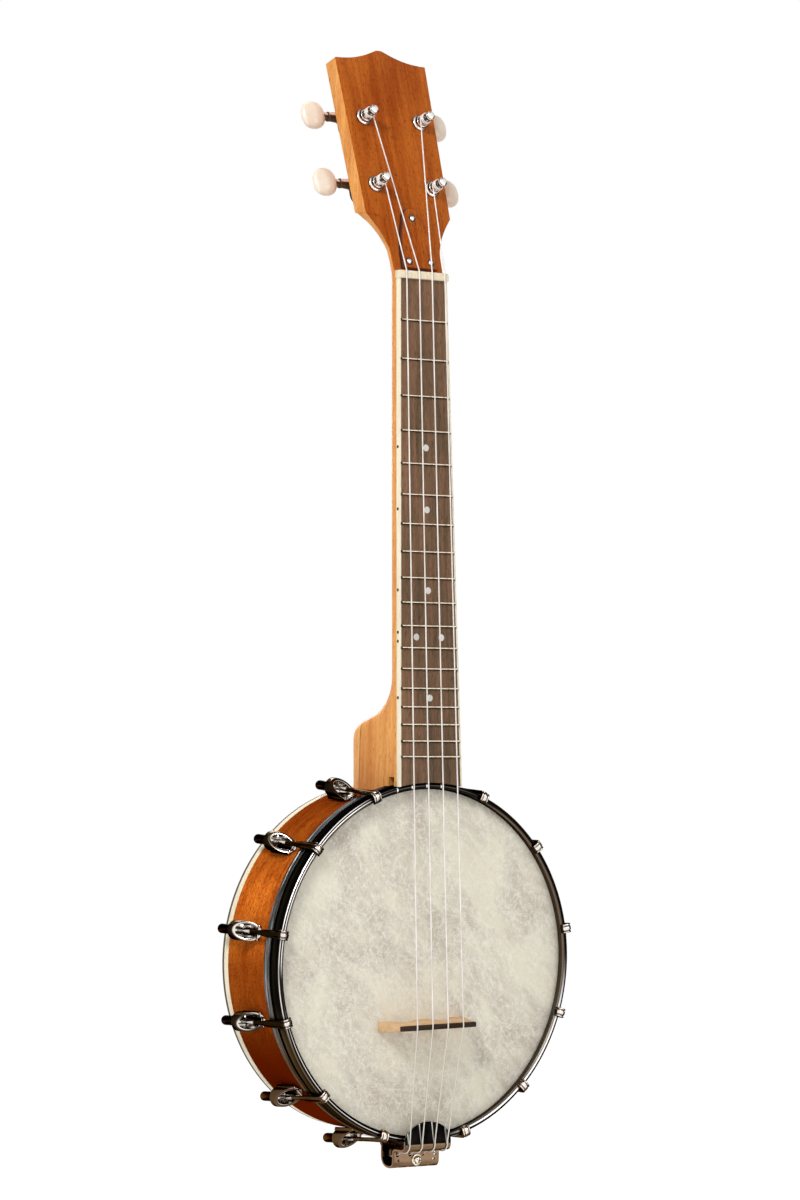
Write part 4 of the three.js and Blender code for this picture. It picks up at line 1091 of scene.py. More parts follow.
@dataclass(frozen=True)
class Pearl(Finish):
    """Pearly plastic with soft bands of light."""

    shade: Colour = tint(224, 200, 178)
    light: Colour = tint(250, 238, 222)
    spacing: float = 0.07
    # How much lighter the painted light side is.
    ridge: float = 0.45

    def paint(self, shader: Shader) -> None:
        """Adds a painted light side where the faces look left towards the key lamp, soft bands and a clear coat."""
        x, y, z = self.spot(shader)
        # Painted light on faces that look left, towards the key lamp.
        outer = (0 - shader.parts(shader.facing())[0]).rise(0.5, 0.62) * self.ridge
        bands = shader.noise(shader.joined(x, y, z * 0.25), self.spacing, 3, 0.5, 0.8)
        sheen = self.cloud(shader, 0.4)
        tone = (bands * 0.8 + sheen * 0.2).rise(0.3, 0.75) * 0.55 + outer
        more = {"Subsurface Weight": 0.15, "Subsurface Radius": (0.003, 0.002, 0.0015), "Subsurface Scale": 0.6}
        more |= {"Coat Weight": 0.3, "Coat Roughness": 0.05, "Normal": shader.bump(bands, 0.04, 0.0002)}
        shader.surface(shader.blend(tone, self.shade, self.light), 0.26 + sheen * 0.1, more)


@dataclass(frozen=True)
class Nylon(Finish):
    """Clear pale string."""

    shade: Colour = tint(226, 218, 210)
    light: Colour = tint(250, 245, 240)
    low: Colour = tint(216, 210, 196)

    def paint(self, shader: Shader) -> None:
        """Adds long faint tones, duller below the bridge."""
        x, y, z = self.spot(shader)
        tones = shader.noise(shader.joined(x, y, z * 0.05), 0.8, 3)
        colour = shader.blend(tones.rise(0.35, 0.65), self.shade, self.light)
        colour = shader.blend(z.rise(-40, -34), self.low, colour)
        shader.surface(colour, 0.22 + tones * 0.1, {"Coat Weight": 0.3})


@dataclass(frozen=True)
class MarkAndShade(Finish):
    """Dark marks, and painted shade in holes and slots and round the rod cover."""

    dark: Colour = tint(18, 15, 13)
    light: Colour = tint(44, 38, 34)

    def paint(self, shader: Shader) -> None:
        """Adds a slight unevenness."""
        specks = self.cloud(shader, 1.5)
        shader.surface(shader.blend(specks.rise(0.4, 0.65), self.dark, self.light), 0.5 + specks * 0.2, {})


LAYOUT = Layout()
POT_CENTRE = tuple(LAYOUT.row @ Vector())
NECK_WOOD = Wood(
    "neck_wood", POT_CENTRE, dark=tint(212, 132, 60), light=tint(252, 184, 106), pore=tint(150, 84, 34),
    breadth=8.0, pore_level=0.57, seam=37.8,
)
FACE_WOOD = Wood(
    "headstock_face_wood", dark=tint(142, 56, 4), light=tint(196, 106, 36), pore=tint(80, 30, 4),
    lean=LAYOUT.headstock_angle, breadth=10.0, pore_length=3.0, pore_level=0.555, specular=0.05, coat=0.02,
)
SHADE_WOOD = Wood(
    "cover_side_wood", dark=tint(84, 40, 24), light=tint(124, 68, 44), pore=tint(50, 22, 12),
    lean=LAYOUT.headstock_angle,
)
RIM_WOOD = Wood(
    "rim_wood", POT_CENTRE, dark=tint(172, 68, 8), light=tint(248, 136, 46), pore=tint(88, 28, 2), grain=Grain.ROUND,
    pore_length=2.0, pore_level=0.515, roughness=0.35, coat=0.0, specular=0.0, relief=0.2, figure=0.3, painted_shade_share=1.0,
)
BOARD_WOOD = Wood(
    "fingerboard_wood", dark=tint(88, 74, 56), light=tint(148, 110, 84), pore=tint(56, 46, 36), figure=0.02,
    breadth=4.0, pore_length=9.0, pore_breadth=0.35, pore_level=0.56, roughness=0.55, coat=0.0,
)
BRIDGE_WOOD = Wood(
    "bridge_wood", dark=tint(190, 148, 108), light=tint(226, 188, 146), pore=tint(150, 104, 66), grain=Grain.ACROSS,
    pore_share=0.4, roughness=0.5,
)
CAP_WOOD = Wood(
    "bridge_cap_wood", dark=tint(26, 18, 12), light=tint(70, 55, 44), pore=tint(14, 10, 8), grain=Grain.ACROSS,
    breadth=3.0, specular=0.02, coat=0.0,
)
CHROME = Metal("chrome", POT_CENTRE, shadow=tint(34, 28, 22), middle=tint(96, 82, 66), bright=tint(244, 232, 222))
# Painted reflection of the bright inside of the shoes' cups, brightest on the cup's floor.
INSIDE = Metal(
    "shoe_inside", POT_CENTRE, shadow=tint(70, 58, 48), middle=tint(226, 220, 214), facets=2.6, high=0.54,
    ground_reflection_share=0.3, painted_highlight_from=30.0,
)
PLATE = Metal(
    "tail_plate", POT_CENTRE, shadow=tint(104, 82, 62), middle=tint(164, 134, 106), facets=0.9, glints=(), ground_reflection_share=0.1,
)
ARCH = MirrorPlate("tail_arch", POT_CENTRE)
BRONZE = Metal(
    "tuner_bronze", shadow=tint(74, 52, 36), middle=tint(122, 90, 64), bright=tint(240, 216, 200), ground_reflection_share=0.0,
    roughness=0.35, mirror=0.3, glints=(STEM_GLINT,),
)
BLACKED = Metal(
    "tuner_black", shadow=tint(14, 11, 9), middle=tint(44, 36, 30), bright=tint(110, 94, 80), ground_reflection_share=0.0,
    mirror=0.5, glints=(STEM_GLINT,),
)
POLISH = Metal(
    "tuner_chrome", shadow=tint(92, 82, 74), middle=tint(222, 216, 210), ground_reflection_share=0.0, facets=1.6, low=0.4, high=0.56,
)
GILT = Metal(
    "tail_screw", shadow=tint(96, 66, 30), middle=tint(250, 232, 190), ground_reflection_share=0.0, facets=2.4, low=0.4, high=0.54,
)
STEEL = Metal("steel", shadow=tint(84, 80, 76), middle=tint(158, 154, 150), ground_reflection_share=0.0, roughness=0.25)
FRET_METAL = FretMetal("fret_metal")
HOOP_METAL = HoopMetal("hoop_metal", POT_CENTRE)
FLESH_METAL = StreakedMetal("flesh_hoop_metal", POT_CENTRE)
HEAD = HeadSkin("head_skin", POT_CENTRE)
RIM_IVORY = Cream("rim_ivoroid", POT_CENTRE, dark_band_from=54.8, specular=0.02)
BOARD_IVORY = Cream("board_ivoroid")
BONE = Cream("nut_bone", shade=tint(226, 208, 176), light=tint(246, 234, 208))
PEARL = Pearl("button_pearl")
DOT_PEARL = Pearl("dot_pearl", shade=tint(206, 202, 192), light=tint(244, 242, 236), spacing=0.5)
NYLON = Nylon("string_nylon", POT_CENTRE)
DARK_MARK_AND_SHADE = MarkAndShade("dark_mark_and_shade")


@dataclass
class Workshop:
    """Turns shapes into finished pieces of the instrument."""

    layout: Layout
    paints: dict[str, bpy.types.Material] = field(default_factory=dict)

    def material(self, finish: Finish) -> bpy.types.Material:
        """Gives the material of a finish, made the first time it is asked for."""
        if finish.name not in self.paints:
            made = bpy.data.materials.new(finish.name)
            made.use_nodes = True
            finish.paint(Shader(made.node_tree))
            self.paints[finish.name] = made
        return self.paints[finish.name]

    def restyle(self, node: str, finish: Finish) -> None:
        """Gives a solid of the frame, which stays in sight, its finish and material slot."""
        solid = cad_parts[node]
        solid.data.materials.clear()
        solid.data.materials.append(self.material(finish))

    def hand_over(
        self,
        name: str,
        shape: Shape,
        finishes: Sequence[Finish],
        nodes: Sequence[str] = (),
        body: str = "instrument",
        angle: float = 35.0,
    ) -> None:
        """Makes a piece of the instrument from a shape.

        Args:
            name: The piece's name.
            shape: Its shape in millimetres, which is used up.
            finishes: Its finishes, in the order that its faces number them.
            nodes: The nodes that it stands for.
            body: The body that it moves with.
            angle: Edges sharper than this stay sharp, in degrees.
        """
        shape.mesh.transform(self.layout.row)
        mesh = bpy.data.meshes.new(name)
        shape.mesh.to_mesh(mesh)
        shape.mesh.free()
        mesh.shade_smooth()
        mesh.set_sharp_from_angle(angle=math.radians(angle))
        piece = bpy.data.objects.new(name, mesh)
        bpy.context.scene.collection.objects.link(piece)
        for finish in finishes:
            mesh.materials.append(self.material(finish))
        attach(piece, body)
        if nodes:
            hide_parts(*nodes)
        LOG.info("%s: %d faces on %s", name, len(mesh.polygons), body)


# Sub-assemblies


@dataclass
class Pot:
    """The rim with its back binding, the head, the flesh hoop and the tension hoop."""

    layout: Layout
    edge: float = 0.7
    front: float = 0.7
    back_gap: float = 0.1
    binding_wall: float = 2.0
    binding_height: float = 6.0
    binding_edge: float = 0.5
    head_thickness: float = 0.4
    collar_drop: float = 8.0
    shoulder: float = 1.1
    lip: float = 0.5
    lip_edge: float = 0.35

    def ring(self, profile: Outline) -> Shape:
        """Spins a closed profile round the pot."""
        return Shape().add(turned(profile, ROUND_STEPS, closed=True))

    def rim(self) -> Shape:
        """Makes the wooden ring with a rebate for the binding."""
        lay = self.layout
        inner, outer, back = lay.rim_inner, lay.rim_radius, lay.rim_depth - self.back_gap
        rebate, start = outer - self.binding_wall, lay.rim_depth - self.binding_height
        corners = [(inner, self.front), (outer, self.front), (outer, start), (rebate, start)]
        return self.ring(rounded([*corners, (rebate, back), (inner, back)], self.edge))

    def binding(self) -> Shape:
        """Makes the cream ring round the back of the rim."""
        inner, outer = self.layout.rim_radius - self.binding_wall, self.layout.rim_radius
        low, high = self.layout.rim_depth - self.binding_height, self.layout.rim_depth
        return self.ring(rounded([(inner, low), (outer, low), (outer, high), (inner, high)], self.binding_edge))

    def head(self) -> Shape:
        """Makes the skin with its collar."""
        outer, thick, drop = self.layout.collar_outer, self.head_thickness, self.collar_drop
        reach = outer - self.shoulder
        over = [(reach, 0), *bow((reach, 0), [(outer, 0)], (outer, self.shoulder), 5)]
        under = [(radius - thick, height + thick) for radius, height in over[:0:-1]]
        profile = [(0, 0), (reach * 0.5, 0), *over, (outer, drop)]
        profile += [(outer - thick, drop), *under, (reach * 0.5, thick), (0, thick)]
        return Shape().add(turned(profile, ROUND_STEPS))

    def flesh_hoop(self) -> Shape:
        """Makes the dull strip below the tension hoop, with a rolled lip at each edge."""
        lay = self.layout
        inner, outer, waist = lay.flesh_inner, lay.hoop_outer, lay.hoop_outer - self.lip
        low, high = lay.flesh_start, lay.flesh_start + lay.flesh_height
        corners = [(inner, low), (outer, low), (outer, low + 1.4), (waist, low + 1.9)]
        corners += [(waist, high - 1.7), (outer, high - 1.3), (outer, high), (inner, high)]
        return self.ring(rounded(corners, self.lip_edge))

    def tension_hoop(self) -> Shape:
        """Makes the ring with a round bead that presses the head down."""
        lay, bead = self.layout, self.layout.hoop_bead
        inner, outer, top = lay.flesh_inner, lay.hoop_outer, bead - lay.hoop_stand
        low = lay.flesh_start - lay.seat
        corners = [(outer, low - 0.3), (outer - 0.35, top + 0.9), *arc((outer - bead, top), bead, 0, -180, 14)]
        corners += [(outer - 2 * bead, -0.7), (inner, -0.7), (inner, low), (outer - 0.3, low)]
        return self.ring(corners)

    def dress(self, shop: Workshop) -> None:
        """Hands over the pot's pieces."""
        shop.hand_over("rim_ring", self.rim(), [RIM_WOOD], ["rim"])
        shop.hand_over("rim_back_binding", self.binding(), [RIM_IVORY], ["rim_binding"])
        shop.hand_over("drum_head", self.head(), [HEAD], ["head"])
        shop.hand_over("flesh_ring", self.flesh_hoop(), [FLESH_METAL], ["flesh_hoop"])
        shop.hand_over("tension_ring", self.tension_hoop(), [HOOP_METAL], ["tension_hoop"])


@dataclass
class Tensioners:
    """Twelve hooks over the tension hoop, each with its nut and its shoe."""

    layout: Layout
    rod_axis: float = 1.5
    rod_radius: float = 1.3
    rod_start: float = 14.0
    nut_radius: float = 3.2
    nut_start: float = 36.8
    nut_end: float = 49.8
    bend_steps: int = 8
    rib: float = 1.5
    groove: float = 0.34
    groove_depth: float = 0.62
    shoe_radius: float = 5.7
    shoe_wall: float = 1.5
    shoe_front: float = 12.0
    shoe_back: float = 36.5
    shoe_floor: float = 33.3
    slant_start: float = 20.0
    slant_end: float = 33.0
    foot_width: float = 9.0
    bolt_place: float = 26.0
    bolt_radius: float = 2.2

    def claw_row(self, place: Vector, normal: Vector, sizes: Sequence[float]) -> list[Vector]:
        """Makes one ring of the hook's flat part.

        Args:
            place: The ring's centre in y and z.
            normal: The way the outer face looks, in y and z.
            sizes: Half its width, half its thickness, from 2 for a round section to 6 for a nearly square one,
                and how deep the two grooves are, from 0 to 1.

        Returns:
            The ring's points.
        """
        half, thick, square, ribs = sizes
        count = 40
        ring = []
        for side in (1, -1):
            for step in range(count):
                u = -side * math.cos(math.pi * step / count)
                lift = thick * (1 - abs(u) ** square) ** (1 / square)
                if side > 0:
                    cut_in = math.exp(-(((abs(u * half) - self.rib) / self.groove) ** 2))
                    lift *= 1 - ribs * self.groove_depth * cut_in
                away = place + normal * side * lift
                ring.append(Vector((half * u, away.x, away.y)))
        return ring

    def bend(self, start: float, middle: Point, radius: float, sizes: Point, losses: Point) -> list[list[Vector]]:
        """Makes the rings of a quarter bend of the hook's flat part.

        Args:
            start: The angle of the first ring's outer face in degrees, 0 for one that looks away from the pot.
            middle: The bend's centre in y and z.
            radius: The bend's radius.
            sizes: The first ring's sizes.
            losses: How much less each size is at the last ring.

        Returns:
            The rings.
        """
        rings = []
        for step in range(self.bend_steps + 1):
            share = step / self.bend_steps
            angle = math.radians(start + 90 * share)
            normal = Vector((-math.sin(angle), math.cos(angle)))
            now = [size - loss * share for size, loss in zip(sizes, losses)]
            rings.append(self.claw_row(Vector(middle) + normal * radius, normal, now))
        return rings

    def hook(self) -> Shape:
        """Makes a hook, its rod and its nut."""
        crown, axis = self.layout.hoop_stand + 1.5, self.rod_axis
        strap = [(15.0, 1.3, 1.2, 2.0, 0.0), (11.5, 1.7, 1.15, 2.6, 0.0), (7.0, 2.2, 1.1, 4.0, 0.2)]
        strap += [(1.0, 2.4, 1.1, 5.0, 0.5), (-2.2, 2.5, 1.1, 6.0, 0.8), (-4.2, 2.7, 1.1, 6.0, 1.0)]
        rows = [self.claw_row(Vector((height, axis)), Vector((0, 1)), sizes) for height, *sizes in strap]
        rows += self.bend(0, (1.8 - crown, axis - 1.8), 1.8, (2.7, 1.1, 6.0, 1.0), (0, 0, 0, 0))
        rows.append(self.claw_row(Vector((-crown, -1.3)), Vector((-1, 0)), (2.7, 1.05, 6.0, 1.0)))
        rows += self.bend(90, (1.75 - crown, -2.1), 1.75, (2.7, 1.0, 5.0, 1.0), (0.2, 0.45, 0, 0))
        wide, start, end = self.nut_radius, self.nut_start, self.nut_end
        nut = [(0, start), (wide - 0.5, start), (wide, start + 0.5), (wide, start + 2.6), (wide - 0.35, start + 3.1)]
        nut += [(wide - 0.35, end - 2.2), *bow((2.85, end - 2.2), [(2.8, end)], (0.9, end), 6), (0, end)]
        shape = Shape().add(skin(rows)).add(turned(nut, 32), Matrix.Translation((0, 0, axis)))
        # The rod's part in the cup takes the second finish, a painted reflection of the bright cup.
        top, middle, low = ((0, y, axis) for y in (self.rod_start, self.slant_start + 1, self.nut_start + 1))
        return shape.add(rod(top, middle, self.rod_radius)).add(rod(middle, low, self.rod_radius), finish=1)

    def cup(self) -> Form:
        """Makes the shoe's round cup with its slanted mouth, its inside numbered as the second finish."""
        outer, inner, floor, back = self.shoe_radius, self.shoe_radius - self.shoe_wall, self.shoe_floor, self.shoe_back
        profile = [(0, floor), (inner - 0.6, floor), (inner, floor - 0.6), (inner, self.shoe_front)]
        profile += [(outer, self.shoe_front), (outer, back - 0.8), (outer - 0.8, back), (0, back)]
        cup = tidied(turned(profile, 40))
        cup.transform(Matrix.Translation((0, 0, self.rod_axis)))
        low, top = self.rod_axis - inner, self.rod_axis + outer + 0.3
        mouth = Vector((0, self.slant_start, low))
        normal = Vector((0, low - top, self.slant_end - self.slant_start)).normalized()
        bmesh.ops.bridge_loops(cup, edges=sliced(cup, mouth, normal))
        softened(cup, 0.3, 2, lambda edge: all(abs((vert.co - mouth).dot(normal)) < 1e-3 for vert in edge.verts))
        for face in cup.faces:
            middle = face.calc_center_median()
            if math.hypot(middle.x, middle.z - self.rod_axis) < inner + 0.2 and middle.y < floor + 0.1:
                face.material_index = 1
        return cup

    def shoe(self, angle: float) -> Shape:
        """Makes a shoe on the rim, with the bolt that holds it.

        Args:
            angle: Its place round the pot in degrees.

        Returns:
            The shape in the pot's frame.
        """
        lay = self.layout
        low = self.rod_axis - self.shoe_radius + self.shoe_wall
        root = lay.rim_radius - lay.hoop_outer - 1.2
        toe, lip = self.slant_start - 0.5, low + 0.6
        profile = [(toe, root), (self.shoe_back, root), (self.shoe_back, lip), (toe + 1.5, lip), (toe, low)]
        foot = softened(across(rounded(profile, 0.5), self.foot_width / 2), 0.6)
        shape = Shape().add(self.cup(), lay.hook(angle)).add(foot, lay.hook(angle))
        ring, face = swing("Y", angle), lay.rim_inner - lay.seat
        washer, bolt_head = (-0.8, 0.2, 5.2, 0, 32, 0.2), (-3.4, -0.8, 4.0, 0, 6, 0.35)
        for start, end, radius, end_radius, sides, edge in (washer, bolt_head, (-4.6, -3.2, 2.0, 1.6, 24, 0.2)):
            ends = ((0, self.bolt_place, face + place) for place in (start, end))
            shape.add(softened(rod(*ends, radius, end_radius, sides), edge), ring)
        ends = ((0, self.bolt_place, place) for place in (face - 1, lay.rim_radius + 1))
        return shape.add(rod(*ends, self.bolt_radius), ring)

    def dress(self, shop: Workshop) -> None:
        """Hands over the hooks and shoes."""
        for side, sign in SIDES.items():
            for at, angle in enumerate(self.layout.hook_angles, 1):
                hook, shoe = self.hook(), self.shoe(sign * angle)
                hook.mesh.transform(self.layout.hook(sign * angle))
                shop.hand_over(f"tension_hook_{side}_{at}", hook, [CHROME, INSIDE], [f"hook_{side}_{at}"])
                shop.hand_over(f"rim_shoe_{side}_{at}", shoe, [CHROME, INSIDE], [f"shoe_{side}_{at}"])


@dataclass
class Neck:
    """The neck with its heel, and the headstock with its face and cover."""

    layout: Layout
    depth_at_nut: float = 14.0
    depth_at_heel: float = 15.0
    heel_depth: float = 53.0
    heel_overlap: float = 11.0
    curve_start: float = 166.0
    curve_pull: float = 157.0
    middle: float = 144.5
    middle_depth: float = 35.0
    middle_reach: float = 9.0
    middle_fall: float = 0.35
    round_pull: float = 140.5
    corner: float = 130.0
    squareness: float = 0.3
    taper: float = 0.12
    waist: float = 17.4
    shoulder: float = 30.4
    shoulder_height: float = 35.9
    rises: tuple[float, ...] = (0.0, 0.35, 0.56, 0.7, 0.82, 0.92, 1.0)
    widths: tuple[float, ...] = (0.0, 0.046, 0.23, 0.42, 0.63, 0.83, 1.0)
    rounds: tuple[float, ...] = (1.0, 0.95, 0.8, 0.65, 0.5, 0.3, 0.14)
    top_half: float = 32.5
    top_height: float = 134.6
    peak_height: float = 141.8
    peak_half: float = 4.0
    veneer: float = 0.9
    columns: int = 44
    cover_foot: float = 12.0
    cover_height: float = 39.5
    cover_top: float = 6.4
    cover_gap: float = 1.2
    cover_screws: tuple[Point, ...] = ((0, 33.1), (-7.8, 5.4), (7.8, 5.4))

    def section(self, half: float, depth: float, round_share: float, front: float, taper: float = 0.0) -> list[Point]:
        """Draws a level section: a flat front and a rounded back.

        Args:
            half: Half its width.
            depth: How far the back stands behind the front.
            round_share: 1 for a round back, towards 0 for a square one.
            front: Where the front lies.
            taper: How much narrower the back is, as a share.

        Returns:
            The section's points in x and y.
        """
        points = []
        for step in range(self.columns + 1):
            angle = math.pi * step / self.columns
            reach = abs(math.cos(angle)) ** round_share * math.copysign(1, math.cos(angle))
            drop = 0.0 if step in (0, self.columns) else abs(math.sin(angle)) ** round_share
            points.append((half * reach * (1 - taper * drop), front + depth * drop))
        return points + [(half * share, front) for share in (-0.6, -0.2, 0.2, 0.6)]

    def transition(self) -> list[Vector]:
        """Gives the widening from neck to shoulder: height share, half width and roundness."""
        return flow([*zip(self.rises, self.widths, self.rounds)], 5)

    def back_line(self) -> list[Point]:
        """Gives the line of the neck's back and heel: distance down from the nut, and depth."""
        down, shallow, deep = self.layout.down_from_nut, self.depth_at_heel, self.heel_depth
        fall, reach = self.middle_reach * self.middle_fall, self.middle_reach
        start, middle = (down(self.curve_start), shallow), (down(self.middle), self.middle_depth)
        pulls = [(down(self.curve_pull), shallow), (down(self.middle + fall), self.middle_depth - reach)]
        line = [(0.0, self.depth_at_nut), start, *bow(start, pulls, middle, 18)]
        pulls = [(down(self.middle - fall), self.middle_depth + reach), (down(self.round_pull), deep)]
        line += bow(middle, pulls, (down(self.corner), deep), 16)
        return [*line, (self.layout.board_length + self.heel_overlap, deep)]

    def shaft(self) -> Shape:
        """Makes the neck from the rim to the headstock's shoulder."""
        lay = self.layout
        rows = []
        for place, depth in reversed(self.back_line()):
            share = min(max((depth - self.depth_at_heel) / (self.heel_depth - self.depth_at_heel), 0), 1)
            power = 1 + (self.squareness - 1) * share
            ring = self.section(lay.half_width(place), depth, power, lay.board_seat, self.taper * share)
            rows.append([lay.neck @ Vector((x, y, -place)) for x, y in ring])
        lean = math.radians(lay.headstock_angle)
        rise, depth_at_shoulder = self.shoulder_height * math.cos(lean), lay.headstock_thickness / math.cos(lean)
        levels = []
        for share, width, round_share in self.transition():
            half = self.waist + (self.shoulder - 0.1 - self.waist) * width
            depth = self.depth_at_nut + (depth_at_shoulder - 0.4 - self.depth_at_nut) * share
            levels.append((rise * share, half, depth - 0.25, max(round_share, 0.14), 0.25))
        levels.append((rise + 3, self.shoulder - 0.5, depth_at_shoulder - 1.4, 0.14, 0.6))
        for height, half, depth, round_share, sunk in levels:
            ring = self.section(half, depth, round_share, height * math.tan(lean) + sunk)
            rows.append([lay.origin + Vector((x, y, height)) for x, y in ring])
        shape = Shape().add(skin(rows))
        for side in SIDES.values():
            shape.add(slab(lay.strip(side, lay.board_length, 1.2), 3.25, lay.board_seat + 0.5), lay.neck)
        hoop, rim, back = lay.hoop_outer + 0.3, lay.rim_radius + 0.05, 10.3
        space = turned([(0, -60), (hoop, -60), (hoop, back), (rim, back), (rim, 90), (0, 90)], ROUND_STEPS)
        slot = across([(-0.5, 60), (5.2, 60), (5.2, 107.2), (-0.5, 107.2)], 60)
        return shape.cut(Shape().add(space)).cut(Shape().add(slot))

    def upper_outline(self) -> list[Point]:
        """Draws the headstock's sides and top from the right shoulder to the left one."""
        corner = (self.top_half, self.top_height)
        middle = (self.top_height + self.peak_height) / 2
        pulls = [(self.top_half * 0.55, self.top_height), (self.peak_half * 2.5, middle)]
        curve = bow(corner, pulls, (self.peak_half / 2, self.peak_height), 20)
        crest = (self.peak_half / 4, self.peak_height + 0.12)
        return mirrored([(self.shoulder, self.shoulder_height), corner, *curve, crest])

    def plate(self) -> Form:
        """Makes the headstock's wood behind the face."""
        lay = self.layout
        foot = self.shoulder_height - lay.headstock_thickness
        outline = [(-self.shoulder, foot), (self.shoulder, foot), *self.upper_outline()]
        form = slab(outline, self.veneer, lay.headstock_thickness)
        form.transform(lay.headstock)
        level = lay.origin.z + self.shoulder_height * math.cos(math.radians(lay.headstock_angle))
        sliced(tidied(form), (0, 0, level), (0, 0, 1), outer=False)
        back, deep = lay.headstock.inverted(), lay.headstock_thickness - 0.01
        return softened(tidied(form), 0.8, 3, lambda edge: all((back @ vert.co).y > deep for vert in edge.verts), 40)

    def face(self) -> Shape:
        """Makes the thin face of the headstock, down to the nut."""
        gap = 0.3
        side = [
            (self.waist + (self.shoulder - self.waist) * width, gap + (self.shoulder_height - gap) * share)
            for share, width, _ in self.transition()
        ]
        outline = side + self.upper_outline()[1:-1] + flipped(side)
        form = softened(slab(outline, 0, self.veneer), 0.3, 2, lambda edge: all(v.co.y < 0.01 for v in edge.verts))
        return Shape().add(form, self.layout.headstock)

    def cover(self) -> Shape:
        """Makes the cover over the truss rod's end, with three screws, a painted contact shadow round it and painted
        shade in the screws' holes and slots.
        """
        foot, height, top, gap = self.cover_foot, self.cover_height, self.cover_top, self.cover_gap
        level = height - top
        pulls = [(foot, height * 0.4), (top * 1.5, height * 0.6)]
        side = [(foot, gap), *bow((foot, gap), pulls, (top, level), 16)]
        outline = [*side, *arc((0, level), top, 0, 180, 20)[1:-1], *flipped(side)]
        form = softened(slab(outline, -2.7, -0.05), 1.0, 3, lambda edge: all(v.co.y < -2.6 for v in edge.verts))
        form.normal_update()
        for face in form.faces:
            face.material_index = 3 if face.normal.y > -0.95 else 0
        place = self.layout.headstock
        # A dark rim just wider than the cover: painted contact shadow.
        line = slab([(x * 1.05, gap + (z - gap) * 1.012) for x, z in outline], -0.45, -0.05)
        shape = Shape().add(form, place).add(line, place, 2)
        screw = [(0, -3.6), (0.7, -3.57), (1.3, -3.35), (1.7, -3.0), (1.8, -2.68), (2.1, -2.64), (2.1, -2.5), (0, -2.5)]
        # Dark discs round the screw heads and dark bars across them: painted shade in the holes and slots.
        painted_hole_shade = [(0, -2.74), (2.5, -2.74), (2.5, -2.5), (0, -2.5)]
        for x, z in self.cover_screws:
            spot = place @ Matrix.Translation((x, 0, z))
            shape.add(turned(screw, 24), spot, 1).add(turned(painted_hole_shade, 24), spot, 2)
            for turn in (20, 110):
                shape.add(bar(0.8, 0.14, -3.5, 0.3), spot @ swing("Y", turn), 2)
        return shape

    def dress(self, shop: Workshop) -> None:
        """Hands over the neck's pieces."""
        shop.hand_over("neck_wood", self.shaft().add(self.plate()), [NECK_WOOD], ["neck"])
        shop.hand_over("headstock_face", self.face(), [FACE_WOOD], ["neck"])
        finishes = [FACE_WOOD, POLISH, DARK_MARK_AND_SHADE, SHADE_WOOD]
        shop.hand_over("rod_cover", self.cover(), finishes, ["truss_rod_cover"])
        shop.restyle("truss_rod", STEEL)


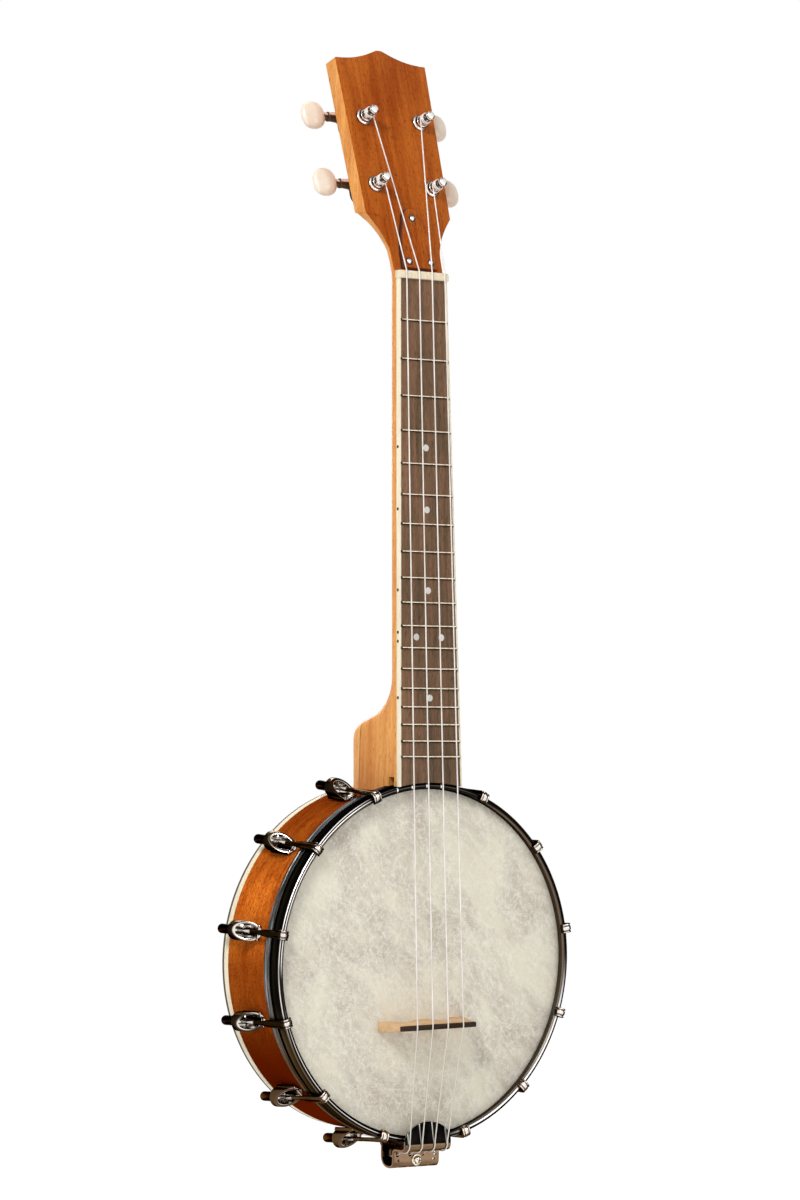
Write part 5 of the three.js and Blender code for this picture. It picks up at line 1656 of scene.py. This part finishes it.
@dataclass
class Fingerboard:
    """The board with frets and dots, its binding and the nut."""

    layout: Layout
    binding: float = 1.2
    binding_depth: float = 3.2
    glue: float = 0.1
    fret_count: int = 18
    reach: float = 4.0
    fret_half: float = 0.75
    fret_height: float = 1.0
    fret_slope: float = 0.9
    dot_frets: tuple[int, ...] = (5, 7, 10, 15)
    double_fret: int = 12
    double_spread: float = 9.0
    dot_radius: float = 2.0
    side_dot_radius: float = 0.95
    side_dot_depth: float = 1.9
    side_spread: float = 2.6

    def hoop_space(self) -> Shape:
        """Makes the round space that the tension hoop needs at the board's end."""
        radius = self.layout.hoop_outer + 0.25
        return Shape().add(turned([(0, -40), (radius, -40), (radius, 40), (0, 40)], ROUND_STEPS))

    def before(self, number: int) -> float:
        """Gives the middle between a fret and the one above it, down from the nut."""
        return (self.layout.fret_place(number) + self.layout.fret_place(number - 1)) / 2

    def board(self) -> Shape:
        """Makes the dark board."""
        lay = self.layout
        side, end = self.binding + self.glue, lay.board_length + self.reach
        top, low = lay.half_width(0) - side, lay.half_width(end) - side
        form = slab([(-top, 0), (-low, -end), (low, -end), (top, 0)], 0.02, lay.board_thickness)
        return Shape().add(form, lay.neck).cut(self.hoop_space())

    def frets(self) -> Shape:
        """Makes the frets with crowned tops and sloping ends."""
        lay, wide = self.layout, self.fret_half
        shape = Shape()
        for number in range(1, self.fret_count + 1):
            down = lay.fret_place(number)
            half = lay.half_width(down) - 0.6
            angles = [math.pi * step / 10 for step in range(11)]
            outline = [(-self.fret_height * math.sin(a) ** 0.8, -down - wide * math.cos(a)) for a in angles]
            form = across([*outline, (0.25, -down + wide), (0.25, -down - wide)], half)
            for vert in form.verts:
                vert.co.x *= 1 - max(-vert.co.y, 0) * self.fret_slope / half
            shape.add(form, lay.neck)
        return shape

    def dots(self) -> Shape:
        """Makes the pearl dots in the board."""
        shape = Shape()
        places = [(0.0, number) for number in self.dot_frets]
        for x, number in [*places, (-self.double_spread, self.double_fret), (self.double_spread, self.double_fret)]:
            down = self.before(number)
            shape.add(rod((x, 0.6, -down), (x, -0.04, -down), self.dot_radius, sides=32), self.layout.neck)
        return shape

    def edging(self) -> Shape:
        """Makes the cream binding along the board's sides, with dark dots on its left side."""
        lay = self.layout
        shape = Shape()
        for side in SIDES.values():
            form = slab(lay.strip(side, lay.board_length + self.reach, self.binding), 0, self.binding_depth)
            softened(form, 0.25, 2, lambda edge: all(v.co.y < 0.01 and abs(v.co.x) > 15 for v in edge.verts))
            shape.add(form, lay.neck)
        shape.cut(self.hoop_space())
        middle, depth = self.before(self.double_fret), self.side_dot_depth
        for down in [*map(self.before, self.dot_frets), middle - self.side_spread, middle + self.side_spread]:
            x = -lay.half_width(down)
            form = rod((x + 0.8, depth, -down), (x - 0.05, depth, -down), self.side_dot_radius, sides=20)
            shape.add(form, lay.neck, 1)
        return shape

    def nut(self) -> Shape:
        """Makes the bone nut with four shallow slots."""
        lay = self.layout
        low, top, front, back = lay.board_thickness, -lay.nut_stand, 0.15, lay.nut_thickness - 0.15
        outline = [(low, front), (top, front), (top - 0.02, back - 2.2), (top + 0.7, back), (low, back)]
        form = softened(across(rounded(outline, 0.5), lay.half_width(0) + 0.1), 0.4)
        slots = Shape()
        for number in STRING_NUMBERS:
            x = number * lay.pitch_at_nut
            slots.add(rod((x, top - 0.3, -1), (x, top - 0.1, 6), 0.45, sides=12), lay.neck)
        return Shape().add(form, lay.neck).cut(slots)

    def dress(self, shop: Workshop) -> None:
        """Hands over the fingerboard's pieces."""
        shop.hand_over("board_wood", self.board(), [BOARD_WOOD], ["fingerboard"])
        shop.hand_over("frets", self.frets(), [FRET_METAL], ["fingerboard"])
        shop.hand_over("board_dots", self.dots(), [DOT_PEARL], ["fingerboard"])
        shop.hand_over("board_binding", self.edging(), [BOARD_IVORY, DARK_MARK_AND_SHADE], ["fingerboard_binding"])
        shop.hand_over("bone_nut", self.nut(), [BONE], ["nut"])


@dataclass
class Tuners:
    """Four geared tuners with pearl buttons."""

    layout: Layout
    axis_y: float = 4.7
    axis_z: float = 6.3
    body_depth: float = 7.8
    body_radius: float = 5.8
    body_top_half: float = 3.7
    body_top: float = 10.1
    snout_end: float = 14.0
    button_place: float = 24.1
    button_reach: float = 8.2
    button_depth: float = 4.4
    button_height: float = 8.65
    button_power: float = 2.3
    gear_teeth: int = 14
    gear_radius: float = 4.8
    gear_root: float = 3.45
    gear_start: float = 3.4
    gear_width: float = 2.6

    @property
    def shaft_line(self) -> Matrix:
        """Puts a turned form on the button's shaft, with its height outwards."""
        return Matrix.Translation((0, self.axis_y, self.axis_z)) @ swing("Z", -90)

    @property
    def front(self) -> float:
        """Where the headstock's face lies in a tuner's frame."""
        return -self.layout.headstock_thickness - self.layout.seat

    def housing(self, place: Matrix) -> Shape:
        """Makes the closed housing, its snout and its screw.

        Args:
            place: The tuner's frame.

        Returns:
            The shape.
        """
        wide, top_half, top, back = self.body_radius, self.body_top_half, self.body_top, self.body_depth
        upper = mirrored([(wide, 0), (wide, self.axis_z), (top_half, top)])
        outline = arc((0, 0), wide, 180, 360, 20) + rounded(upper, 1.4, 4, closed=False)[1:-1]
        body = softened(slab(outline, 0, back), 1.7, 5, lambda edge: all(v.co.y > back - 0.01 for v in edge.verts))
        snout = [(0, 2), (4.0, 2), (4.0, 5.0), (3.7, 5.6), (3.2, 6.2), (2.95, 9), (2.7, 12.2), (2.95, 12.5)]
        snout += [(2.95, 13.5), (2.6, 13.95), (0, self.snout_end)]
        screw = [(0, back + 0.7), (1.3, back + 0.62), (2.1, back + 0.3), (2.3, back - 0.1), (0, back - 0.1)]
        shape = Shape().add(body, place, 2).add(turned(snout, 32), place @ self.shaft_line)
        shape.add(turned(screw, 28), place)
        # A dark bar across the screw's head: painted shade in its slot.
        slot = place @ Matrix.Translation((0, back + 0.42, 0)) @ swing("Y", 30)
        return shape.add(bar(1.6, 0.2, 0, 0.3), slot, 1)

    def collar(self, place: Matrix) -> Shape:
        """Makes the washer and bushing on the headstock's face."""
        profile = [(2.6, 0.3), (5.0, 0.3), (5.05, -0.5), (4.9, -1.1), (4.4, -1.5), (4.05, -1.6), (3.95, -2.2)]
        profile += [(3.8, -3.2), (3.6, -3.5), (3.1, -3.5), (3.05, -3.2), (2.6, -3.2)]
        profile = [(radius, self.front + height) for radius, height in profile]
        return Shape().add(turned(rounded(profile, 0.15, 2), 40, closed=True), place)

    def post(self, place: Matrix) -> Shape:
        """Makes the string post with its gear wheel.

        Args:
            place: The tuner's frame.

        Returns:
            The shape.
        """
        front, tip = self.front, self.front - 13
        profile = [(2.95, -4.2), (2.85, -4.6), (2.35, -5.3), (2.3, -9.4), (2.4, -9.8), (2.75, -10.2)]
        profile += [(2.8, -11.4), (2.5, -11.6), (2.5, -11.8), (2.7, -12.0)]
        profile = [(radius, front + height) for radius, height in profile]
        profile = [(0, self.gear_start + 1), (2.9, self.gear_start + 1), *profile]
        profile += [*bow((2.7, tip + 1.0), [(2.65, tip)], (0.9, tip), 6), (0, tip)]
        tooth = ((self.gear_root, -0.09), (self.gear_radius, -0.035), (self.gear_radius, 0.035), (self.gear_root, 0.09))
        teeth = []
        for number in range(self.gear_teeth):
            middle = math.tau * (number + 0.25) / self.gear_teeth
            teeth += [(radius * math.cos(middle + turn), radius * math.sin(middle + turn)) for radius, turn in tooth]
        wheel = slab(teeth, self.gear_start, self.gear_start + self.gear_width)
        return Shape().add(turned(profile, 36), place).add(wheel, place)

    def stem(self, place: Matrix) -> Shape:
        """Makes the smooth sleeve of the button's shaft."""
        start, end = self.snout_end + 0.25, self.button_place - self.button_reach + 0.9
        profile = [(1.75, start), (2.3, start), (2.35, start + 0.5), (2.3, end), (1.75, end)]
        return Shape().add(turned(profile, 28, closed=True), place @ self.shaft_line)

    def button(self, place: Matrix) -> Shape:
        """Makes the oval button, with a soft ridge down the middle of each face."""
        form = bmesh.new()
        bmesh.ops.create_uvsphere(form, u_segments=40, v_segments=28, radius=1.0)
        for vert in form.verts:
            swell = sum(abs(part) ** self.button_power for part in vert.co) ** (-1 / self.button_power)
            x, y, z = (part * swell for part in vert.co)
            ridge = 1 - 0.2 * abs(x) ** 1.1
            vert.co = (x * self.button_reach, y * self.button_depth * ridge, z * self.button_height)
        return Shape().add(form, place @ Matrix.Translation((self.button_place, self.axis_y, self.axis_z)))

    def dress(self, shop: Workshop) -> None:
        """Hands over the tuners' pieces."""
        for side, sign in SIDES.items():
            for level, height in zip(("lower", "upper"), self.layout.post_heights):
                name = f"{level}_{side}"
                place, housing, knob = self.layout.tuner(sign, height), [f"tuner_housing_{name}"], f"knob_{name}"
                finishes = [BRONZE, DARK_MARK_AND_SHADE, BLACKED]
                shop.hand_over(f"machine_housing_{name}", self.housing(place), finishes, housing)
                shop.hand_over(f"machine_collar_{name}", self.collar(place), [POLISH], housing)
                post = [f"tuner_post_{name}"]
                shop.hand_over(f"machine_post_{name}", self.post(place), [POLISH], post, f"post_{name}")
                shop.hand_over(f"machine_stem_{name}", self.stem(place), [BRONZE], (), knob)
                button = [f"tuner_button_{name}"]
                shop.hand_over(f"machine_button_{name}", self.button(place), [PEARL], button, knob)
                shop.restyle(f"tuner_shaft_{name}", BRONZE)


@dataclass
class Tailpiece:
    """The folded tailpiece, and the rod through the pot with its end nut."""

    layout: Layout
    half: float = 16.4
    sheet: float = 1.2
    plate_front: float = 8.9
    arch_top: float = 91.5
    arch_foot: float = 103.0
    shelf: float = 108.2
    bend: float = 3.7
    box_front: float = 2.5
    box_bottom: float = 118.6
    box_back: float = 13.8
    flange_gap: float = 0.5
    flange_end: float = 36.0
    hole_radius: float = 1.2
    hole_drop: float = 3.2
    hole_pitch: float = 9.0
    rod_radius: float = 4.0
    rod_nut_radius: float = 7.0
    rod_nut_height: float = 5.0

    def path(self) -> list[Vector]:
        """Gives the folded sheet's middle line in y and z, from the arch's top to the flange."""
        front, shelf, bottom, bend = -self.plate_front, -self.shelf, -self.box_bottom, self.bend
        flange, box, back = -self.layout.rim_radius - self.flange_gap - self.sheet / 2, self.box_front, self.box_back
        rise = self.arch_foot - self.arch_top
        path = [(front, -self.arch_top - rise * (1 - math.cos(math.pi / 2 * step / 16))) for step in range(17)]

        def fold(start: Point, corner: Point, end: Point, steps: int) -> list[Point]:
            """Gives a rounded corner of the sheet."""
            return [start, *bow(start, [corner], end, steps)]

        path += fold((front, shelf + bend), (front, shelf), (front + bend, shelf), 8)
        path += fold((box - bend / 2, shelf), (box, shelf), (box, shelf - bend / 2), 6)
        path += fold((box, bottom + bend), (box, bottom), (box + bend, bottom), 8)
        path += fold((box + bend, bottom), (back, bottom), (back, bottom + 2 * bend), 10)[1:]
        path += fold((back, flange - bend / 2), (back, flange), (back + bend / 2, flange), 6)
        return [Vector(point) for point in [*path, (self.flange_end, flange)]]

    def half_at(self, point: Vector) -> float:
        """Half the sheet's width at a point of its middle line."""
        height = (point.y + self.arch_foot) / (self.arch_foot - self.arch_top)
        if point.x > 0.5 - self.plate_front or height <= 0:
            return self.half
        return max(self.half * math.sqrt(max(1 - height * height, 0)), 0.6)

    def folded(self) -> Form:
        """Makes the folded sheet, with its arch's front and back in finishes of their own."""
        path = self.path()
        rows = []
        for at, point in enumerate(path):
            along = (path[min(at + 1, len(path) - 1)] - path[max(at - 1, 0)]).normalized()
            off = Vector((-along.y, along.x)) * self.sheet / 2
            half = self.half_at(point)
            ring = []
            for side, shares in ((1, (-1, -0.5, 0, 0.5, 1)), (-1, (1, 0.5, 0, -0.5, -1))):
                ring += [Vector((half * share, *(point + off * side))) for share in shares]
            rows.append(ring)
        sheet = softened(skin(rows), 0.22, 2, angle=50)
        for face in sheet.faces:
            middle = face.calc_center_median()
            if middle.z > -self.arch_foot - 1.5:
                face.material_index = 3 if middle.y < -self.plate_front and face.normal.y < -0.9 else 1
        return sheet

    def plate(self) -> Shape:
        """Makes the tailpiece with its holes and screw."""
        front, level = self.box_front, -(self.shelf + self.box_bottom) / 2 - self.hole_radius
        drop = -self.shelf - self.hole_drop
        places = [(number * self.hole_pitch, drop, self.hole_radius, 24) for number in STRING_NUMBERS]
        holes = Shape()
        for x, z, radius, sides in [*places, (-12.6, level, 0.8, 16), (12.6, level, 0.8, 16)]:
            holes.add(rod((x, front - 3, z), (x, front + 3, z), radius, sides=sides))
        for x in (-17, -5.6, 5.6, 17):
            corners = ((-1.8, 3.4), (1.8, 3.4), (1.8, 5.4), (-1.8, 5.4))
            holes.add(drawn([(x * 0.65 + dx, y, -self.box_bottom - 3) for dx, y in corners], (0, 0, 6)))
        holes.add(rod((0, self.layout.rod_place, -95), (0, self.layout.rod_place, -110), self.rod_radius + 0.2))
        shape = Shape().add(self.folded()).cut(holes)
        screw = [(0, 3.0), (3.3, 3.0), (3.4, 2.6), (3.2, 2.2), (2.6, 2.1), (2.6, 1.5), (2.4, 1.0)]
        screw += [(1.6, 0.35), (0.8, 0.1), (0, 0.05)]
        profile = [(radius, front - 3.6 + height) for radius, height in screw]
        shape.add(turned(profile, 32), Matrix.Translation((0, 0, level)), 4)
        # Dark bars across the screw's head: painted shade in its slot.
        for turn in (15, 105):
            place = Matrix.Translation((0, front - 3.62, level)) @ swing("Y", turn)
            shape.add(bar(1.5, 0.22, 0, 0.5), place, 2)
        return shape

    def tie_rod(self) -> Shape:
        """Makes the rod through the pot with a nut at each end."""
        lay, tall = self.layout, self.rod_nut_height
        face = lay.rim_inner - 0.6
        ends = ((0, lay.rod_place, -105), (0, lay.rod_place, lay.rim_radius + 16))
        shape = Shape().add(rod(*ends, self.rod_radius, sides=36))
        for low, high in ((-face, tall - face), (face - tall, face)):
            nut = rod((0, lay.rod_place, low), (0, lay.rod_place, high), self.rod_nut_radius, sides=6)
            shape.add(softened(nut, 0.5))
        return shape

    def end_nut(self) -> Shape:
        """Makes the domed nut below the tailpiece."""
        start = self.layout.rim_radius + self.flange_gap + self.sheet + 0.3
        top = start + 7.5
        profile = [(0, start), (5.6, start), (6.5, start + 0.6), (6.5, start + 4.8), (6.2, start + 5.2)]
        profile += [*bow((6.2, start + 5.2), [(6.0, top)], (2.0, top), 6), (0, top)]
        place = Matrix.Translation((0, self.layout.rod_place, 0)) @ swing("X", -90)
        return Shape().add(turned(profile, 36), place)

    def dress(self, shop: Workshop) -> None:
        """Hands over the tailpiece, the rod and the end nut."""
        shop.hand_over("tail_plate", self.plate(), [PLATE, POLISH, DARK_MARK_AND_SHADE, ARCH, GILT], ["tailpiece"])
        shop.hand_over("tie_rod", self.tie_rod(), [STEEL], ["coordinator_rod"])
        shop.hand_over("tie_rod_nut", self.end_nut(), [CHROME], ["end_nut"])


@dataclass
class Bridge:
    """The footed bridge and its dark cap."""

    layout: Layout
    height: float = 18.9
    cap_height: float = 2.6
    cap_half_thick: float = 1.5
    cap_half: float = 26.5
    foot_gap: float = 0.05
    foot_half: float = 30.5
    foot_half_thick: float = 3.0
    foot_width: float = 10.0
    arch: float = 5.0

    def body(self) -> Shape:
        """Makes the wooden body on three feet."""
        top, gap = self.height - self.cap_height - 0.1, self.foot_gap
        outer, inner = self.foot_half - self.foot_width, self.foot_width / 2
        peak = ((outer + inner) / 2, self.arch)
        right = [(inner, gap), *bow((inner, gap), [(inner, self.arch)], peak, 8)]
        right += [*bow(peak, [(outer, self.arch)], (outer, gap), 8), (self.foot_half, gap)]
        outline = mirrored([*right, (self.foot_half - 0.1, 1.6), (self.cap_half, top)])
        form = drawn([(x, -y, -self.foot_half_thick) for x, y in outline], (0, 0, 2 * self.foot_half_thick))
        for vert in form.verts:
            share = min(-vert.co.y / top, 1)
            vert.co.z *= 1 + (self.cap_half_thick / self.foot_half_thick - 1) * share
        return Shape().add(softened(form, 0.35), self.layout.bridge)

    def cap(self) -> Shape:
        """Makes the dark cap with a rounded top."""
        low, high, half = -self.height + self.cap_height, -self.height, self.cap_half_thick
        back = [(low, -half), (high + 0.5, -half), (high, -half * 0.5)]
        outline = [*back, *((height, -depth) for height, depth in reversed(back))]
        return Shape().add(softened(across(outline, self.cap_half), 0.3), self.layout.bridge)

    def dress(self, shop: Workshop) -> None:
        """Hands over the bridge and its cap."""
        shop.hand_over("bridge_body", self.body(), [BRIDGE_WOOD], ["bridge"])
        shop.hand_over("bridge_top", self.cap(), [CAP_WOOD], ["bridge_cap"])


@dataclass
class Strings:
    """Four strings from the tailpiece over the bridge and the nut to the posts."""

    layout: Layout
    tail: Tailpiece
    bridge: Bridge
    lift: float = 0.8
    girth: float = 0.4
    sides: int = 10
    pitch_at_bridge: float = 11.0
    post_waist: float = 2.3
    winding_turns: float = 2.5
    winding_pitch: float = 1.15
    winding_start: float = 5.6
    winding_steps: int = 24

    def from_tail(self, number: float) -> list[Vector]:
        """Gives a string's line from inside the tailpiece's box to the arch's foot."""
        lay, tail, thin = self.layout, self.tail, self.layout.string_radius
        clear = tail.sheet / 2 + lay.seat + thin
        drop, inside = -tail.shelf - tail.hole_drop, tail.box_front + tail.sheet + tail.hole_drop
        points = [
            (inside + tail.hole_radius, drop - tail.hole_radius),
            (inside, drop - tail.hole_radius / 2),
            (tail.box_front, drop),
            (tail.box_front - tail.sheet, drop + thin),
            (tail.box_front - tail.bend, -tail.shelf - clear),
            *arc((tail.bend - tail.plate_front, tail.bend - tail.shelf), tail.bend + clear, 270, 180, 8),
            (-tail.plate_front - clear, -tail.arch_foot + thin),
        ]
        return [Vector((number * tail.hole_pitch, y, z)) for y, z in points]

    def winding(self, side: int, height: float, start: Vector) -> list[Vector]:
        """Gives a string's turns round its post.

        Args:
            side: -1 for the left side, 1 for the right one.
            height: The post's height on the headstock.
            start: Where the string leaves the nut.

        Returns:
            Its points in the headstock's frame.
        """
        lay = self.layout
        wrap = self.post_waist + lay.seat + lay.string_radius
        outward, upward = lay.post_spread - abs(start.x), height - start.z
        first = math.atan2(outward, upward) - math.asin(wrap / math.hypot(outward, upward))
        loops = []
        for step in range(int(self.winding_turns * self.winding_steps) + 1):
            turn = first + math.tau * step / self.winding_steps
            depth = self.winding_start + self.winding_pitch * step / self.winding_steps
            out = side * (lay.post_spread - wrap * math.cos(turn))
            loops.append(Vector((out, -depth, height + wrap * math.sin(turn))))
        return [*loops, loops[-1] + (loops[-1] - loops[-2]).normalized() * 2 * lay.string_radius]

    def route(self, number: float) -> list[Vector]:
        """Gives a string's line.

        Args:
            number: The string's place from the middle, -1.5 to 1.5.

        Returns:
            Its points in the pot's frame.
        """
        lay, over = self.layout, -self.layout.nut_stand - self.lift
        bridge = Vector((number * self.pitch_at_bridge, -self.bridge.height - self.lift, -lay.bridge_below))
        nut = [lay.neck @ Vector((number * lay.pitch_at_nut, over, z)) for z in (0, lay.nut_thickness - 0.6)]
        side, height = (1 if number > 0 else -1), lay.post_heights[0 if abs(number) > 1 else 1]
        loops = self.winding(side, height, lay.headstock.inverted() @ nut[-1])
        return [*self.from_tail(number), bridge, *nut, *(lay.headstock @ point for point in loops)]

    def tube(self, points: Sequence[Vector]) -> Shape:
        """Makes a round tube along a line."""
        rows = []
        side = Vector((1, 0, 0))
        for at, point in enumerate(points):
            along = (points[min(at + 1, len(points) - 1)] - points[max(at - 1, 0)]).normalized()
            side = (side - along * side.dot(along)).normalized()
            other = along.cross(side)
            angles = [math.tau * step / self.sides for step in range(self.sides)]
            rows.append([point + (side * math.cos(a) + other * math.sin(a)) * self.girth for a in angles])
        return Shape().add(skin(rows))

    def dress(self, shop: Workshop) -> None:
        """Hands over the strings."""
        for at, number in enumerate(STRING_NUMBERS, 1):
            shape = self.tube(self.route(number))
            shop.hand_over(f"nylon_string_{at}", shape, [NYLON], [f"string_{at}"], angle=80)


# Studio


@dataclass
class Studio:
    """The floor, the light and the camera, with places in metres and angles in degrees."""

    target: Vector = field(default_factory=lambda: Vector((-0.01997, -0.014224, -0.192149)))
    distance: float = 2.480
    azimuth: float = -35.973
    elevation: float = -1.008
    roll: float = 1.0
    lens: float = 128.64
    floor_drop: float = 0.15
    floor_half: float = 12.0
    floor_glow: float = 1.12
    glow_share: float = 0.85
    ambient: float = 0.45

    def world(self) -> None:
        """Makes a white surround that lights the object softly."""
        world = bpy.data.worlds.new("studio")
        bpy.context.scene.world = world
        world.use_nodes = True
        shader = Shader(world.node_tree)
        strength = self.ambient + shader.rays("Camera", "Glossy", "Transmission") * (1 - self.ambient)
        back = shader.node("ShaderNodeBackground", None, {"Color": (1, 1, 1, 1), "Strength": strength})
        shader.node("ShaderNodeOutputWorld", None, {"Surface": back.outputs[0]})

    def floor(self) -> None:
        """Makes a pale floor below the object, which keeps its shadow."""
        form = bmesh.new()
        bmesh.ops.create_grid(form, x_segments=1, y_segments=1, size=self.floor_half)
        form.transform(Matrix.Translation((0, 0, CAD_BOX[0].z - self.floor_drop)))
        mesh = bpy.data.meshes.new("floor")
        form.to_mesh(mesh)
        form.free()
        floor = bpy.data.objects.new("floor", mesh)
        bpy.context.scene.collection.objects.link(floor)
        material = bpy.data.materials.new("pale_floor")
        material.use_nodes = True
        shader = Shader(material.node_tree)
        grain = shader.noise(shader.place(Vector()), 0.01, 3)
        pale = shader.blend(grain.rise(0.3, 0.7), tint(238, 238, 238), tint(246, 246, 246))
        matt = shader.node("ShaderNodeBsdfDiffuse", None, {"Color": pale}).outputs[0]
        glow = shader.node("ShaderNodeEmission", None, {"Color": (1, 1, 1, 1), "Strength": self.floor_glow}).outputs[0]
        seen = shader.rays("Camera", "Glossy") * self.glow_share
        mix = shader.node("ShaderNodeMixShader", None, {"Fac": seen, "Shader": matt, "Shader_001": glow})
        shader.node("ShaderNodeOutputMaterial", None, {"Surface": mix.outputs[0]})
        mesh.materials.append(material)

    def lamp(self, name: str, place: Point, size: float, power: float) -> None:
        """Makes a soft lamp that looks at the object.

        Args:
            name: Its name.
            place: Where it stands from the target, in metres.
            size: Its width in metres.
            power: Its power in watts.
        """
        data = bpy.data.lights.new(name, "AREA")
        data.shape = "DISK"
        data.size = size
        data.energy = power
        lamp = bpy.data.objects.new(name, data)
        bpy.context.scene.collection.objects.link(lamp)
        lamp.location = self.target + Vector(place)
        lamp.rotation_euler = Vector(place).to_track_quat("Z", "Y").to_euler()

    def camera(self) -> None:
        """Makes the camera at the photographed angle."""
        azimuth, elevation, roll = (math.radians(v) for v in (self.azimuth, self.elevation, self.roll))
        level = math.cos(elevation)
        back = Vector((math.sin(azimuth) * level, -math.cos(azimuth) * level, math.sin(elevation)))
        right = Vector((0, 0, 1)).cross(back).normalized()
        up = back.cross(right)
        turn = (math.cos(roll) * right + math.sin(roll) * up, math.cos(roll) * up - math.sin(roll) * right, back)
        data = bpy.data.cameras.new("camera")
        data.lens = self.lens
        data.sensor_width = 36
        camera = bpy.data.objects.new("camera", data)
        bpy.context.scene.collection.objects.link(camera)
        place = Matrix.Translation(self.target + back * self.distance)
        camera.matrix_world = place @ Matrix(turn).transposed().to_4x4()
        bpy.context.scene.camera = camera

    def build(self) -> None:
        """Sets up the whole studio."""
        self.world()
        self.floor()
        self.lamp("key", (-1.5, -0.9, 1.25), 0.7, 27)
        self.lamp("fill", (0.9, -1.9, 0.5), 1.0, 6.5)
        self.lamp("top", (0.1, 0.5, 1.9), 1.0, 6)
        self.lamp("back", (0.6, 1.9, 0.7), 1.2, 12)
        self.camera()
        bpy.context.scene.view_settings.view_transform = "Standard"


def main() -> None:
    """Builds the instrument and the studio."""
    logging.basicConfig(level=logging.INFO, format="%(message)s")
    shop, tail, bridge = Workshop(LAYOUT), Tailpiece(LAYOUT), Bridge(LAYOUT)
    for group in (Pot(LAYOUT), Tensioners(LAYOUT), Neck(LAYOUT), Fingerboard(LAYOUT), Tuners(LAYOUT)):
        group.dress(shop)
    for group in (tail, bridge, Strings(LAYOUT, tail, bridge)):
        group.dress(shop)
    Studio().build()


if __name__ == "__main__":
    main()
